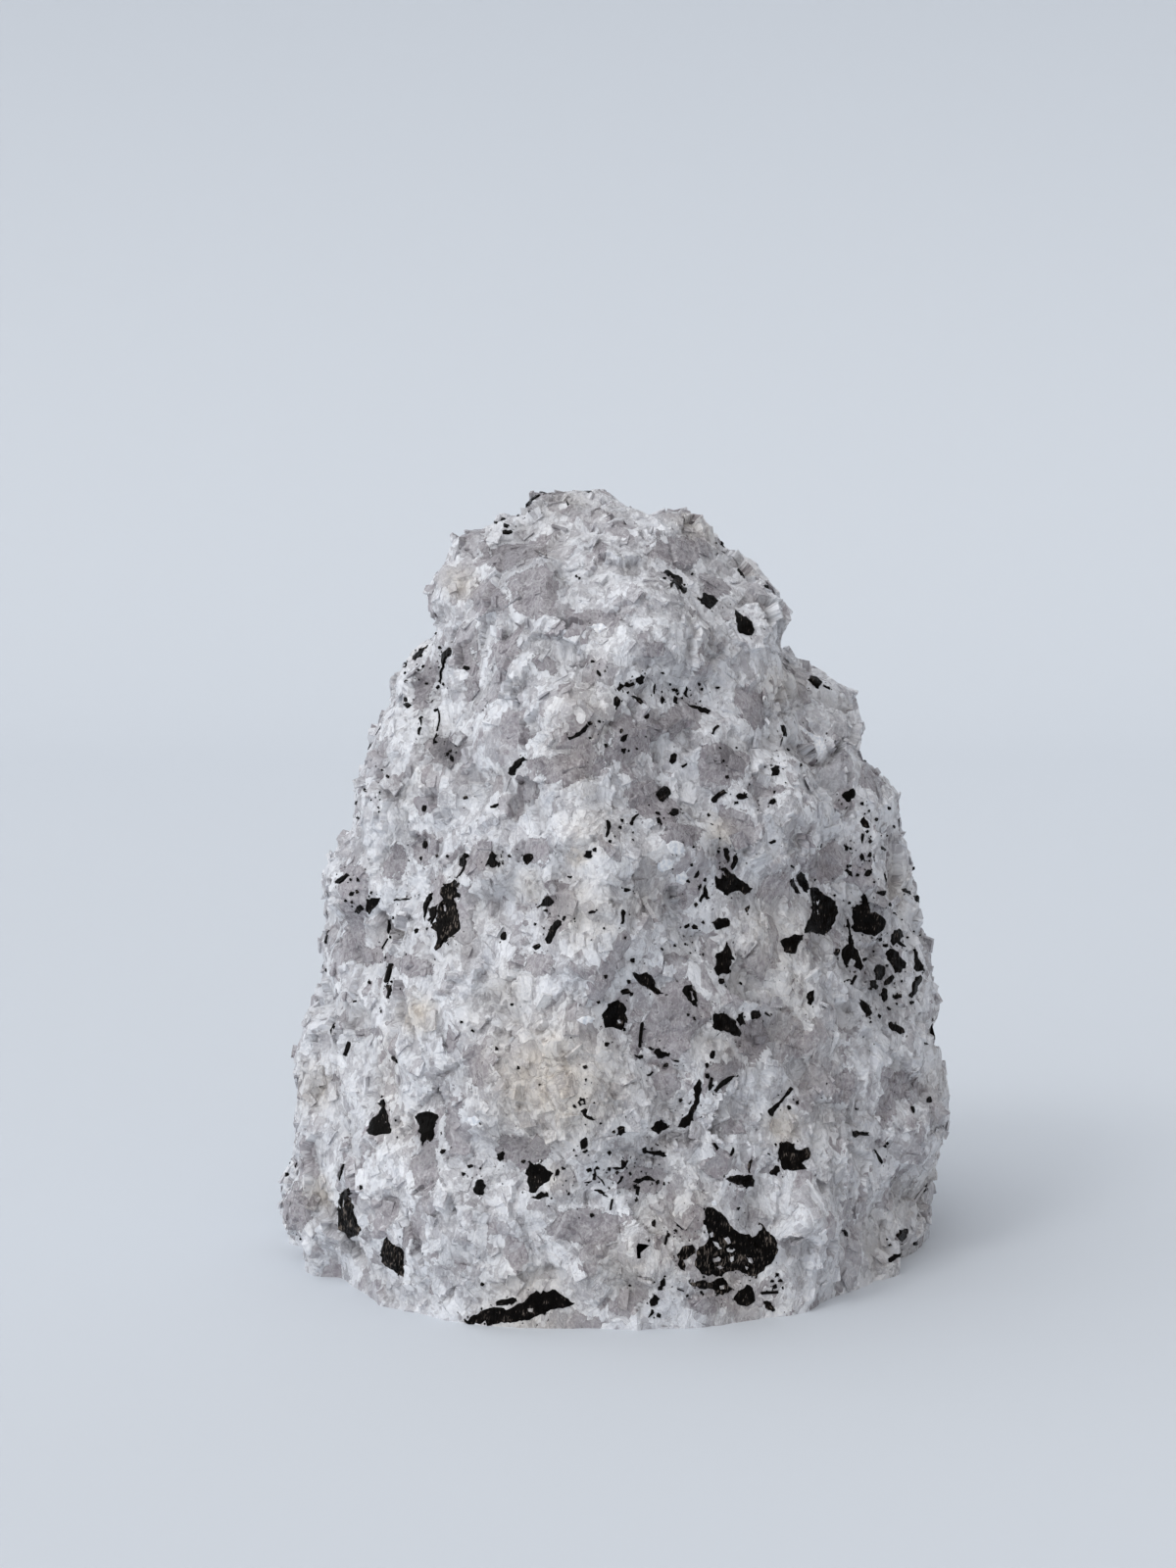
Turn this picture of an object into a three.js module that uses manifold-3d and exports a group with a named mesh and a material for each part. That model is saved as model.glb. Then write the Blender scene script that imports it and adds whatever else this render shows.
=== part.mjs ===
// A rough block of tourmalinated quartz: white feldspar and grey quartz grown together round black
// tourmaline, broken on every side, and sawn flat underneath so that it stands like a small peak.
// Millimetres, +Z up, front towards -Y. The origin is the middle of the block's outline on the ground.
import * as THREE from "three";
import { mergeVertices } from "three/addons/utils/BufferGeometryUtils.js";
import Module from "manifold-3d";

// Driving sizes
const HEIGHT = 105;
const CREST = HEIGHT - 2.5; // the flat shelf that the knob stands on
const BELOW_THE_SAW = 5; // stone under the ground line, which the saw takes off
const GRAIN_STRETCH = 1.35; // the grains run steeply, so the relief is this much longer upwards

// The column: how far the stone reaches from its middle line, as [height, reach] pairs, at equal steps of
// bearing all the way round. The ends of each list hold for everything under and over them.
const COLUMN = [
  // 0 degrees, the right side
  [[0, 41], [20, 40], [40, 35], [55, 31], [70, 27], [80, 25.5], [88, 25.2], [92, 23], [96, 19], [100, 14.5],
    [CREST, 7]],
  // 45 degrees
  [[0, 40], [30, 38], [60, 31], [80, 26], [90, 20], [98, 12], [CREST, 5]],
  // 90 degrees, the back
  [[0, 39], [25, 39], [50, 35], [70, 29], [85, 22], [96, 13], [CREST, 5]],
  // 135 degrees
  [[0, 41], [30, 38], [60, 32], [80, 26], [92, 19], [100, 11], [CREST, 5]],
  // 180 degrees, the left side
  [[0, 41.5], [10, 43.4], [22, 42.2], [32, 41.8], [40, 39.8], [50, 38.2], [62, 35.2], [72, 30.8], [80, 26.8],
    [90, 24], [96, 19.8], [100, 13.8], [CREST, 6]],
  // 225 degrees
  [[0, 41], [20, 38.5], [45, 34], [65, 29.5], [80, 26.5], [90, 22], [97, 15.5], [CREST, 6]],
  // 270 degrees, the front
  [[0, 38.5], [20, 37.5], [45, 34], [60, 31.5], [75, 28], [85, 25], [92, 20.5], [98, 14], [CREST, 6]],
  // 315 degrees
  [[0, 40.5], [20, 38.5], [45, 34], [60, 31], [75, 28], [88, 24.5], [95, 17.5], [CREST, 7]],
];

// Masses that stand out of the column, each an ellipsoid. blend is the width of the crease round it.
const MASSES = [
  { name: "knob", at: [-5.2, 2.5, HEIGHT - 7], half: [9.8, 8.5, 7], blend: 1.2 },
  { name: "front keel", at: [-2, -22, 42], half: [12, 14, 40], blend: 3 },
  { name: "right flank", at: [20, 8, 21], half: [26.8, 29, 62], blend: 2.5 },
  { name: "right hip", at: [33, 4, 18], half: [15, 19, 13], blend: 2 },
  { name: "right shoulder", at: [26.5, 8, 68], half: [10.8, 13, 11.5], blend: 1.5 },
  { name: "front right lobe", at: [15.5, -13.5, 60], half: [14.5, 14.5, 13.5], blend: 1.5 },
  { name: "left slab", at: [-17.5, 0, 69], half: [11.5, 16, 15], blend: 1.2 },
  { name: "left foot", at: [-35, 3, 3], half: [10.6, 10.5, 12], blend: 1.5 },
  { name: "back ledge", at: [-8, 22, 38], half: [26, 17, 26], blend: 1.5 },
  { name: "back right foot", at: [18, 27, 10], half: [20, 14, 20], blend: 2 },
];

// Swellings (height above 0) and hollows (below 0) of the front and back faces, placed across and up, as
// [x, z], on the face seen square on
const FRONT_RELIEF = [
  { name: "groove under the knob", at: [-7, 99.5], half: [9, 1.7], height: -1.2 },
  { name: "lip over the head's recess", at: [10, 84], half: [9, 4], height: 1.6 },
  { name: "recess under the head", at: [9, 77.5], half: [9, 3.4], height: -1.8 },
  { name: "crack beside the slab", at: [-21.5, 75], half: [2.2, 9], height: -1.8 },
  { name: "hollow over the shining ridge", at: [5, 68], half: [9, 6.5], height: -2.2 },
  { name: "left cheek", at: [-24, 66], half: [8, 10], height: 1.2 },
  { name: "shining ridge", at: [5, 59.5], half: [10, 4.5], height: 2.6 },
  { name: "stained pit", at: [-4, 57.5], half: [3, 3], height: -3 },
  { name: "left brow", at: [-33, 52], half: [8, 3.5], height: 1.8 },
  { name: "valley beside the far face", at: [31, 52], half: [4, 14], height: -1.8 },
  { name: "quartz pocket", at: [-9.5, 51], half: [4.5, 6], height: -2 },
  { name: "upright rib", at: [-2.5, 48], half: [4, 11], height: 2 },
  { name: "gap under the brow", at: [-32, 45.5], half: [7, 3.2], height: -1.8 },
  { name: "cream swelling", at: [-7, 30], half: [9, 9], height: 2 },
  { name: "grey band", at: [-12, 20], half: [9, 4.5], height: -1.6 },
  { name: "needle band", at: [4, 18], half: [9, 5], height: -1.4 },
  { name: "pale egg", at: [27, 14], half: [6, 7], height: 1.8 },
  { name: "low left swelling", at: [-22, 12], half: [9, 8], height: 1.4 },
  { name: "bottom lip", at: [3, 8.5], half: [10, 3.4], height: 1.8 },
  { name: "notch beside the foot", at: [-36, 1], half: [3, 6], height: -2.2 },
];
const BACK_RELIEF = [
  { name: "back hollow", at: [-4, 78], half: [9, 8], height: -2.2 },
  { name: "back shelf", at: [10, 62], half: [13, 5], height: 2.4 },
  { name: "back rib", at: [-14, 62], half: [5, 16], height: 2 },
  { name: "gap under the back shelf", at: [9, 53], half: [12, 4.5], height: -2.4 },
  { name: "back toe", at: [-18, 9], half: [12, 6], height: 2 },
];
const RELIEF_EDGE = { full: 0.35, none: 1.25 }; // where a swelling starts to fall and ends, in halves
const ROUND_THE_SIDE = { none: -4, full: 8 }; // how far forward or back a face's relief comes in

// Broken relief all over: wave and size are the width of one lump or facet, rise how far it stands out.
const LUMPS = { wave: 15, rise: 1.5, seed: 11 };
const SMALL_LUMPS = { wave: 7.5, rise: 0.8, seed: 23 };
const FACETS = { size: 6.5, slope: 0.5, rise: 0.8, dome: 0.24, seed: 41 };
const FACET_MEAN = 1.7; // how far the facets stand out on average, taken back off the whole skin
const CLEAR_OF_RELIEF = 8; // no swelling or facet stands out this far

// The mesh: SIDE_COUNT triangles along each edge of the first icosahedron, its corners shaken out of line
// by up to SCATTER of its radius. Rays run from an upright line in the stone, whose heights are parts of
// HEIGHT, and LEVELNESS keeps them nearly level until close to its two ends.
const SIDE_COUNT = 22;
const SCATTER = 0.016;
const RAY_STARTS = { lowest: 0.04, middle: 0.45, highest: 0.86, spread: 0.36 };
const LEVELNESS = 13;
const SHORTEST_STRIDE = 0.4; // along a ray, on the way in to the skin
const HALVINGS = 12; // of the last stride, to settle on the skin

const { clamp, lerp, radToDeg, euclideanModulo, smoothstep } = THREE.MathUtils;

// The same number from 0 to 1 for the same cell and seed
function chance(i, j, k, seed) {
  let mix = Math.imul(i, 374761393) ^ Math.imul(j, 668265263) ^ Math.imul(k, 1274126177);
  mix ^= Math.imul(seed, 1103515245);
  mix = Math.imul(mix ^ (mix >>> 15), 2246822519);
  mix = Math.imul(mix ^ (mix >>> 13), 3266489917);
  return ((mix ^ (mix >>> 16)) >>> 0) / 2 ** 32;
}

// Smooth noise from -1 to 1, with one lump about every wave
function lumpHeight(p, { wave, rise, seed }) {
  const place = [p.x / wave, p.y / wave, p.z / (wave * GRAIN_STRETCH)];
  const [i, j, k] = place.map(Math.floor);
  const [u, v, w] = place.map((value) => smoothstep(value - Math.floor(value), 0, 1));
  const corner = (a, b, c) => chance(i + a, j + b, k + c, seed);
  const row = (b, c) => lerp(corner(0, b, c), corner(1, b, c), u);
  return rise * (2 * lerp(lerp(row(0, 0), row(1, 0), v), lerp(row(0, 1), row(1, 1), v), w) - 1);
}

// Broken facets: every grain has its own tilted, slightly domed face, and the highest one shows
function facetHeight(p, { size, slope, rise, dome, seed }) {
  const place = [p.x / size, p.y / size, p.z / (size * GRAIN_STRETCH)];
  const home = place.map(Math.floor);
  let height = -Infinity;
  for (let n = 0; n < 27; n++) {
    const steps = [n % 3, Math.floor(n / 3) % 3, Math.floor(n / 9)];
    const cell = steps.map((step, axis) => home[axis] + step - 1);
    const [x, y, z] = place.map((value, axis) => value - cell[axis] - chance(...cell, seed + axis));
    const [a, b, c, up] = [3, 4, 5, 6].map((draw) => 2 * chance(...cell, seed + draw) - 1);
    const face = size * (slope * (a * x + b * y + c * z) - dome * (x * x + y * y + z * z));
    height = Math.max(height, face + rise * up);
  }
  return height;
}

// A value read off a list of [place, value] pairs
function along(pairs, place) {
  const after = pairs.findIndex(([at]) => at >= place);
  if (after === 0) return pairs[0][1];
  if (after < 0) return pairs[pairs.length - 1][1];
  const [a, from] = pairs[after - 1];
  const [b, to] = pairs[after];
  return lerp(from, to, (place - a) / (b - a));
}

// The column's reach at a bearing and height, curved from one listed bearing to the next
function columnReach(bearing, height) {
  const turn = (euclideanModulo(bearing, 360) * COLUMN.length) / 360;
  const first = Math.floor(turn);
  const [a, b, c, d] = [-1, 0, 1, 2].map((step) =>
    along(COLUMN[euclideanModulo(first + step, COLUMN.length)], height));
  const t = turn - first;
  return b + 0.5 * t * (c - a + t * (2 * a - 5 * b + 4 * c - d + t * (3 * (b - c) + d - a)));
}

// Roughly how far a point is outside (over 0) or inside (under 0) the column
function outsideColumn(p) {
  const bearing = radToDeg(Math.atan2(p.y, p.x));
  const reach = columnReach(bearing, p.z);
  const lean = columnReach(bearing, p.z + 1) - reach;
  const side = (Math.hypot(p.x, p.y) - reach) / Math.hypot(1, Math.min(lean, 0));
  return Math.max(side, p.z - CREST);
}

// The same for an ellipsoid
function outsideMass(p, { at, half }) {
  const off = [p.x - at[0], p.y - at[1], p.z - at[2]];
  const scaled = Math.hypot(...off.map((value, axis) => value / half[axis]));
  const bent = Math.hypot(...off.map((value, axis) => value / half[axis] ** 2));
  return (scaled * (scaled - 1)) / Math.max(bent, Number.EPSILON);
}

// The lower of two distances, rounded where they meet
function joined(a, b, blend) {
  const near = Math.max(blend - Math.abs(a - b), 0) / blend;
  return Math.min(a, b) - (near * near * blend) / 4;
}

// The swellings and hollows of one face; facing is -1 for the front and 1 for the back
function faceHeight(p, list, facing) {
  const strength = smoothstep(p.y * facing, ROUND_THE_SIDE.none, ROUND_THE_SIDE.full);
  return list.reduce((sum, { at, half, height }) => {
    const away = Math.hypot((p.x - at[0]) / half[0], (p.z - at[1]) / half[1]);
    return sum + strength * height * (1 - smoothstep(away, RELIEF_EDGE.full, RELIEF_EDGE.none));
  }, 0);
}

function reliefHeight(p) {
  const faces = faceHeight(p, FRONT_RELIEF, -1) + faceHeight(p, BACK_RELIEF, 1);
  const lumps = lumpHeight(p, LUMPS) + lumpHeight(p, SMALL_LUMPS);
  return faces + lumps + facetHeight(p, FACETS) - FACET_MEAN;
}

function outside(p) {
  const body = MASSES.reduce(
    (distance, mass) => joined(distance, outsideMass(p, mass), mass.blend),
    outsideColumn(p),
  );
  return body > CLEAR_OF_RELIEF ? body : body - reliefHeight(p);
}

// The outermost point of the stone along the ray for a direction
function skinPoint(direction) {
  const { lowest, middle, highest, spread } = RAY_STARTS;
  const startHeight = HEIGHT * clamp(middle + spread * Math.atanh(direction.z), lowest, highest);
  const start = new THREE.Vector3(0, 0, startHeight);
  const ray = new THREE.Vector3(direction.x, direction.y, direction.z ** LEVELNESS).normalize();
  const at = (distance) => start.clone().addScaledVector(ray, distance);
  const gap = (p) => Math.max(outside(p), -BELOW_THE_SAW - p.z);
  let outer = HEIGHT;
  let inner = HEIGHT;
  let clear = gap(at(inner));
  while (clear > 0 && inner > 0) {
    outer = inner;
    inner -= Math.max(clear / 2, SHORTEST_STRIDE);
    clear = gap(at(inner));
  }
  for (let n = 0; n < HALVINGS; n++) {
    const halfway = (inner + outer) / 2;
    if (gap(at(halfway)) > 0) outer = halfway;
    else inner = halfway;
  }
  return at(inner);
}

// The geometry with only its positions, and its shared corners merged
function bare(geometry) {
  geometry.deleteAttribute("normal");
  geometry.deleteAttribute("uv");
  return mergeVertices(geometry);
}

function brokenBlock() {
  const geometry = bare(new THREE.IcosahedronGeometry(1, SIDE_COUNT - 1));
  const position = geometry.getAttribute("position");
  const direction = new THREE.Vector3();
  const shake = new THREE.Vector3();
  for (let n = 0; n < position.count; n++) {
    shake.set(...[0, 1, 2].map((axis) => SCATTER * (2 * chance(n, axis, 0, 61) - 1)));
    direction.fromBufferAttribute(position, n).add(shake).normalize();
    position.setXYZ(n, ...skinPoint(direction));
  }
  return geometry;
}

// Everything under the ground line, for the saw to take off
function sawnAway() {
  const side = 3 * HEIGHT;
  return bare(new THREE.BoxGeometry(side, side, side)).translate(0, 0, -side / 2);
}

const wasm = await Module();
wasm.setup();

function solidOf(geometry) {
  return new wasm.Manifold(
    new wasm.Mesh({
      numProp: 3,
      vertProperties: new Float32Array(geometry.getAttribute("position").array),
      triVerts: new Uint32Array(geometry.index.array),
    }),
  );
}

function geometryOf(solid) {
  const { vertProperties, triVerts } = solid.getMesh();
  const geometry = new THREE.BufferGeometry();
  geometry.setAttribute("position", new THREE.BufferAttribute(new Float32Array(vertProperties), 3));
  geometry.setIndex(new THREE.BufferAttribute(new Uint32Array(triVerts), 1));
  return geometry;
}

function sawnBlock() {
  const geometry = geometryOf(solidOf(brokenBlock()).subtract(solidOf(sawnAway())));
  geometry.computeBoundingBox();
  const centre = geometry.boundingBox.getCenter(new THREE.Vector3());
  geometry.translate(-centre.x, -centre.y, 0);
  geometry.computeVertexNormals();
  return geometry;
}

const block = new THREE.Mesh(
  sawnBlock(),
  new THREE.MeshStandardMaterial({ color: "#cfd0d4", roughness: 0.5, metalness: 0 }),
);
block.name = "quartz_block";

const model = new THREE.Group();
model.name = "tourmalinated_quartz";
model.add(block);

export default model;
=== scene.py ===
"""A rough block of tourmalinated quartz: broken white feldspar and grey quartz, set with black tourmaline."""

import math
import random
from functools import partial

import bmesh
import bpy
import numpy as np
from mathutils import Euler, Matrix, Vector
from mathutils.bvhtree import BVHTree
from mathutils.geometry import delaunay_2d_cdt
from mathutils.kdtree import KDTree


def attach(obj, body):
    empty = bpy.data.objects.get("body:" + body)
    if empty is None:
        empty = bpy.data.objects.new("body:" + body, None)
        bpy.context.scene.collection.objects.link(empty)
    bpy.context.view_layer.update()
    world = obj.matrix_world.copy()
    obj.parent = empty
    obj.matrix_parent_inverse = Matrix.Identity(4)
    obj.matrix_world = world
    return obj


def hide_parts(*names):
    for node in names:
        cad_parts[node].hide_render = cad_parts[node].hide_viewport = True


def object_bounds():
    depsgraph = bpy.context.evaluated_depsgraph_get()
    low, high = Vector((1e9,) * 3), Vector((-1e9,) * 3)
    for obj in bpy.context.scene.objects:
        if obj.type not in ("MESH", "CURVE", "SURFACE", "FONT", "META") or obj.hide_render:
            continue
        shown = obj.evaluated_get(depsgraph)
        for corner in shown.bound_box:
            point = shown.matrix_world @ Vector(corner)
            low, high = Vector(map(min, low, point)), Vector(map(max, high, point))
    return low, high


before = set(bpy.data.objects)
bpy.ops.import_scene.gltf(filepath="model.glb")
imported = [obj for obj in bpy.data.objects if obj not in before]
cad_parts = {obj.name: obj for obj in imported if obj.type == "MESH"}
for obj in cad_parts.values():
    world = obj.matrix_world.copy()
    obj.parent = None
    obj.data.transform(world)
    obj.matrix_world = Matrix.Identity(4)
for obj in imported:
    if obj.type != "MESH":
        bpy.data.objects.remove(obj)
CAD_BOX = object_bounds()

bl_info = {
    "name": "Tourmalinated quartz block",
    "version": (1, 0, 0),
    "blender": (4, 5, 0),
    "location": "View3D > Sidebar > Quartz block",
    "description": "Dresses a sawn, free-standing block of tourmalinated quartz",
    "category": "Object",
}

MM = 0.001
NODE = "quartz_block"

# The photograph's width and height in pixels, for pieces placed by pixel, and the camera's sensor in mm
PICTURE_WIDTH = 1200
PICTURE_HEIGHT = 1600
SENSOR = 36.0

# In metres: how far the block's front lies before its middle, how far its skin is carried on below the
# ground line before it is sawn, how high over the ground crystals start, and a place well outside it
FRONT = 0.036
SKIRT = 0.004
OVER_GROUND = 0.0015
OUTSIDE = 0.2

# A skin that turns to the camera by more than this (the cosine of the angle) shows in the photograph
SEEN = 0.04

# Small black grains: ((across, down) in pixels, length and width in mm, turn in degrees)
GRAINS = [
    # the knob and the left brow
    ((513, 531), 0.9, 0.6, 20), ((516, 537), 0.8, 0.5, -30), ((506, 533), 0.5, 0.5, 0),
    ((528, 527), 0.8, 0.6, 30), ((541, 523), 0.6, 0.5, 0), ((518, 543), 1.6, 0.7, 0),
    ((413, 677), 1.0, 0.7, 70), ((414, 714), 0.6, 0.6, 0), ((416, 720), 1.0, 0.7, -10),
    ((476, 682), 1.0, 0.6, -20), ((475, 814), 0.7, 0.5, 20), ((433, 825), 0.9, 0.6, 75),
    ((372, 811), 1.3, 0.6, 65), ((364, 819), 0.7, 0.4, 60), ((366, 835), 0.6, 0.4, 0),
    ((434, 862), 1.2, 0.7, 80), ((591, 590), 0.35, 0.3, 0), ((588, 588), 0.3, 0.3, 0),
    # the head
    ((676, 687), 0.4, 0.3, 0), ((732, 702), 0.5, 0.3, 0), ((713, 698), 0.5, 0.3, 90),
    ((660, 731), 0.8, 0.6, 60), ((611, 687), 1.0, 0.4, -60), ((605, 675), 0.5, 0.3, 0),
    ((602, 738), 0.6, 0.5, 0), ((634, 746), 0.5, 0.4, 80), ((706, 586), 0.3, 0.3, 0),
    # the right shoulder and lobe
    ((757, 812), 1.4, 0.8, 10), ((742, 793), 0.5, 0.5, 0), ((688, 829), 1.4, 1.0, 30),
    ((672, 837), 0.7, 0.7, 0), ((882, 840), 1.7, 1.0, -70), ((863, 865), 1.0, 0.6, -60),
    ((886, 891), 1.1, 0.8, 60), ((879, 875), 1.1, 0.7, 90), ((887, 872), 0.8, 0.4, 70),
    ((901, 866), 0.8, 0.4, -30), ((854, 971), 1.1, 0.7, 70), ((930, 1023), 0.6, 0.6, 0),
    ((945, 1065), 0.5, 0.4, 0), ((948, 1122), 1.0, 0.7, 90), ((931, 1132), 1.0, 0.4, -70),
    ((882, 979), 0.7, 0.5, 40), ((913, 932), 0.5, 0.3, -60), ((808, 884), 0.6, 0.3, -60),
    ((788, 859), 1.0, 0.4, 20),
    # the middle of the front
    ((359, 912), 0.7, 0.6, 0), ((366, 928), 1.3, 0.8, 70), ((425, 950), 0.7, 0.5, 45),
    ((600, 872), 1.1, 1.0, 0), ((607, 867), 0.6, 0.5, 0), ((582, 895), 0.5, 0.4, 0),
    ((514, 955), 1.0, 0.7, 80), ((576, 937), 0.6, 0.4, 80), ((604, 931), 1.0, 0.4, 0),
    ((611, 967), 0.4, 0.4, 0), ((548, 966), 1.0, 0.6, 20), ((557, 929), 0.5, 0.4, 0),
    ((523, 1025), 0.4, 0.3, 0), ((377, 1003), 0.4, 0.4, 0), ((619, 1066), 0.5, 0.5, 0),
    ((638, 1012), 1.2, 0.7, 10), ((664, 1070), 0.8, 0.4, -30), ((640, 908), 0.8, 0.5, 0),
    ((701, 945), 0.8, 0.5, 30), ((709, 946), 0.8, 0.6, -20), ((717, 941), 0.4, 0.4, 0),
    ((762, 928), 0.8, 0.6, 90), ((736, 1001), 0.8, 0.7, 0), ((771, 1036), 1.4, 1.2, 10),
    ((727, 1076), 1.1, 0.6, 90), ((721, 1087), 0.6, 0.5, 90), ((722, 1098), 0.7, 0.7, 0),
    ((634, 1153), 1.3, 1.1, 40), ((626, 1155), 0.5, 0.4, 0), ((711, 892), 1.2, 0.5, 60),
    ((702, 899), 0.5, 0.4, 0),
    # the foot
    ((452, 1175), 0.8, 0.6, 45), ((511, 1180), 1.3, 1.0, 70), ((480, 1190), 0.8, 0.5, 20),
    ((473, 1198), 0.5, 0.5, 0), ((490, 1211), 2.0, 1.5, 85), ((569, 1196), 0.9, 0.6, 75),
    ((534, 1185), 0.6, 0.6, 0), ((492, 1310), 0.6, 0.4, -20), ((597, 1089), 0.7, 0.5, 0),
    ((598, 1102), 0.5, 0.3, 80), ((586, 1129), 0.5, 0.5, 0), ((597, 1175), 0.8, 0.4, 15),
    ((604, 1240), 0.7, 0.6, 0), ((580, 1218), 0.4, 0.4, 0), ((862, 1258), 1.2, 0.5, -60),
    ((912, 1283), 2.1, 1.0, 20), ((921, 1260), 1.9, 1.3, 60), ((934, 1269), 0.7, 0.5, 40),
    ((676, 1311), 1.6, 0.9, 75), ((668, 1327), 1.4, 1.0, 60), ((785, 1333), 1.8, 0.9, -50),
    ((667, 1248), 1.0, 0.6, 80), ((788, 1307), 0.5, 0.4, 0), ((796, 1307), 0.6, 0.4, 0),
]

# Black needles and prisms, written as the grains are
NEEDLES = [
    # the knob and the left brow
    ((543, 509), 4.0, 0.5, 42), ((580, 515), 0.8, 0.35, -60), ((600, 502), 1.1, 0.25, 0),
    ((446, 734), 3.0, 0.25, 87), ((444, 754), 1.4, 0.3, 70), ((430, 736), 1.0, 0.25, 88),
    ((428, 746), 1.0, 0.4, 70), ((505, 822), 1.1, 0.4, 20), ((529, 782), 2.9, 1.05, 47),
    # the head and the right shoulder
    ((650, 714), 1.5, 0.4, -42), ((668, 703), 1.2, 0.35, 85), ((756, 585), 1.6, 0.3, -50),
    ((590, 747), 3.0, 0.6, 35), ((730, 745), 1.4, 0.45, 55), ((698, 781), 0.8, 0.4, 30),
    ((797, 757), 1.1, 0.22, 75), ((734, 813), 2.3, 0.8, 40),
    ((676, 811), 2.5, 1.3, 45), ((619, 845), 2.1, 0.5, 88), ((647, 836), 1.6, 0.4, 50),
    ((741, 559), 2.0, 0.5, -25), ((843, 701), 1.1, 0.4, -30), ((880, 855), 1.3, 0.4, 85),
    # the left side
    ((349, 897), 2.0, 0.7, 35), ((397, 945), 1.8, 0.5, 85), ((393, 963), 1.7, 0.35, 60),
    ((397, 993), 2.6, 0.8, 75), ((396, 1012), 1.8, 0.7, 85), ((341, 1050), 1.6, 0.8, 65),
    ((354, 1070), 2.0, 0.8, 72), ((362, 1022), 0.7, 0.3, 10), ((389, 1032), 0.4, 0.3, 90),
    ((404, 1081), 1.9, 0.5, -20), ((410, 918), 2.0, 0.3, 5), ((474, 878), 1.6, 0.8, 70),
    ((470, 890), 1.8, 0.25, 55), ((349, 1196), 2.3, 0.35, 75),
    # the middle and the right side
    ((635, 935), 1.8, 0.5, 88), ((725, 1106), 1.6, 0.5, 80), ((783, 1035), 0.9, 0.3, -35),
    ((689, 1082), 1.0, 0.25, -20), ((663, 1096), 0.9, 0.35, 30), ((866, 947), 2.3, 0.35, -80),
    ((878, 1157), 2.1, 0.7, 2), ((896, 1180), 2.2, 0.4, -62), ((952, 1048), 1.3, 0.7, -60),
    ((871, 1000), 1.6, 0.45, 62), ((865, 1000), 0.5, 0.3, 10), ((654, 1056), 3.2, 0.5, 84),
    # the needle band and the foot
    ((651, 1215), 1.1, 0.5, 80), ((631, 1192), 1.4, 0.35, 0), ((638, 1188), 1.3, 0.5, 50),
    ((606, 1198), 1.4, 0.35, 85), ((601, 1194), 0.6, 0.4, 20), ((609, 1192), 0.5, 0.4, 0),
    ((613, 1205), 1.6, 0.25, -52), ((611, 1216), 1.4, 0.4, -18), ((618, 1220), 0.8, 0.3, -25),
    ((624, 1229), 1.4, 0.35, 80), ((633, 1204), 1.1, 0.3, 50), ((600, 1206), 0.8, 0.25, 5),
    ((730, 1170), 1.1, 0.4, -60), ((766, 1190), 1.8, 0.45, 80), ((747, 1175), 1.0, 0.35, 70),
    ((516, 1328), 2.6, 0.7, 12), ((695, 1252), 1.4, 0.4, -25), ((694, 1316), 0.8, 0.25, -15),
    ((680, 1263), 1.7, 0.35, 80), ((785, 1319), 2.4, 0.4, 3), ((664, 1340), 1.1, 0.4, 60),
]

# Places peppered with tiny black crystals: (across, down), half width and half height in pixels, and how many
PEPPER = [
    ((525, 525), 26, 20, 14), ((425, 690), 24, 34, 16), ((449, 700), 8, 40, 12), ((455, 766), 14, 14, 12),
    ((374, 812), 18, 18, 10), ((388, 790), 12, 12, 5), ((690, 590), 14, 14, 5), ((737, 560), 12, 12, 5),
    ((680, 706), 50, 16, 16), ((655, 765), 34, 16, 8), ((602, 745), 16, 12, 6), ((740, 772), 18, 12, 9),
    ((765, 815), 34, 16, 10), ((690, 830), 34, 16, 10), ((635, 845), 26, 14, 8), ((737, 880), 30, 28, 18),
    ((715, 905), 14, 20, 6), ((510, 877), 12, 8, 12), ((435, 870), 28, 12, 7), ((445, 935), 12, 30, 6),
    ((350, 900), 16, 18, 10), ((372, 925), 14, 12, 6), ((396, 960), 16, 26, 10), ((395, 1005), 12, 18, 6),
    ((560, 940), 22, 26, 8), ((622, 1040), 24, 22, 5), ((660, 1000), 26, 20, 8), ((618, 930), 40, 40, 7),
    ((702, 960), 14, 22, 8), ((740, 985), 22, 26, 7), ((675, 1075), 24, 16, 6), ((770, 1040), 16, 12, 4),
    ((710, 1115), 28, 32, 8), ((800, 1120), 16, 16, 5), ((882, 850), 26, 60, 24), ((884, 885), 24, 26, 18),
    ((895, 960), 44, 50, 44), ((905, 1025), 30, 22, 12), ((950, 1042), 12, 14, 5), ((840, 925), 26, 26, 6),
    ((630, 1195), 46, 26, 26), ((662, 1210), 24, 16, 8), ((594, 1130), 14, 30, 6), ((488, 1200), 22, 20, 7),
    ((551, 1200), 24, 28, 8), ((386, 1142), 14, 22, 5), ((437, 1152), 16, 20, 5), ((356, 1230), 16, 30, 6),
    ((400, 1280), 16, 18, 5), ((530, 1336), 54, 12, 10), ((746, 1275), 60, 42, 24), ((728, 1318), 30, 16, 9),
    ((790, 1310), 14, 10, 6), ((682, 1256), 16, 16, 7), ((670, 1320), 16, 20, 7), ((915, 1270), 20, 18, 8),
    ((810, 1182), 24, 18, 6), ((890, 1165), 22, 20, 5), ((830, 695), 18, 8, 4), ((790, 800), 20, 40, 8),
    ((560, 1110), 60, 40, 5), ((860, 1100), 40, 60, 8), ((480, 1010), 60, 50, 5), ((700, 1000), 40, 60, 6),
]

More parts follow.
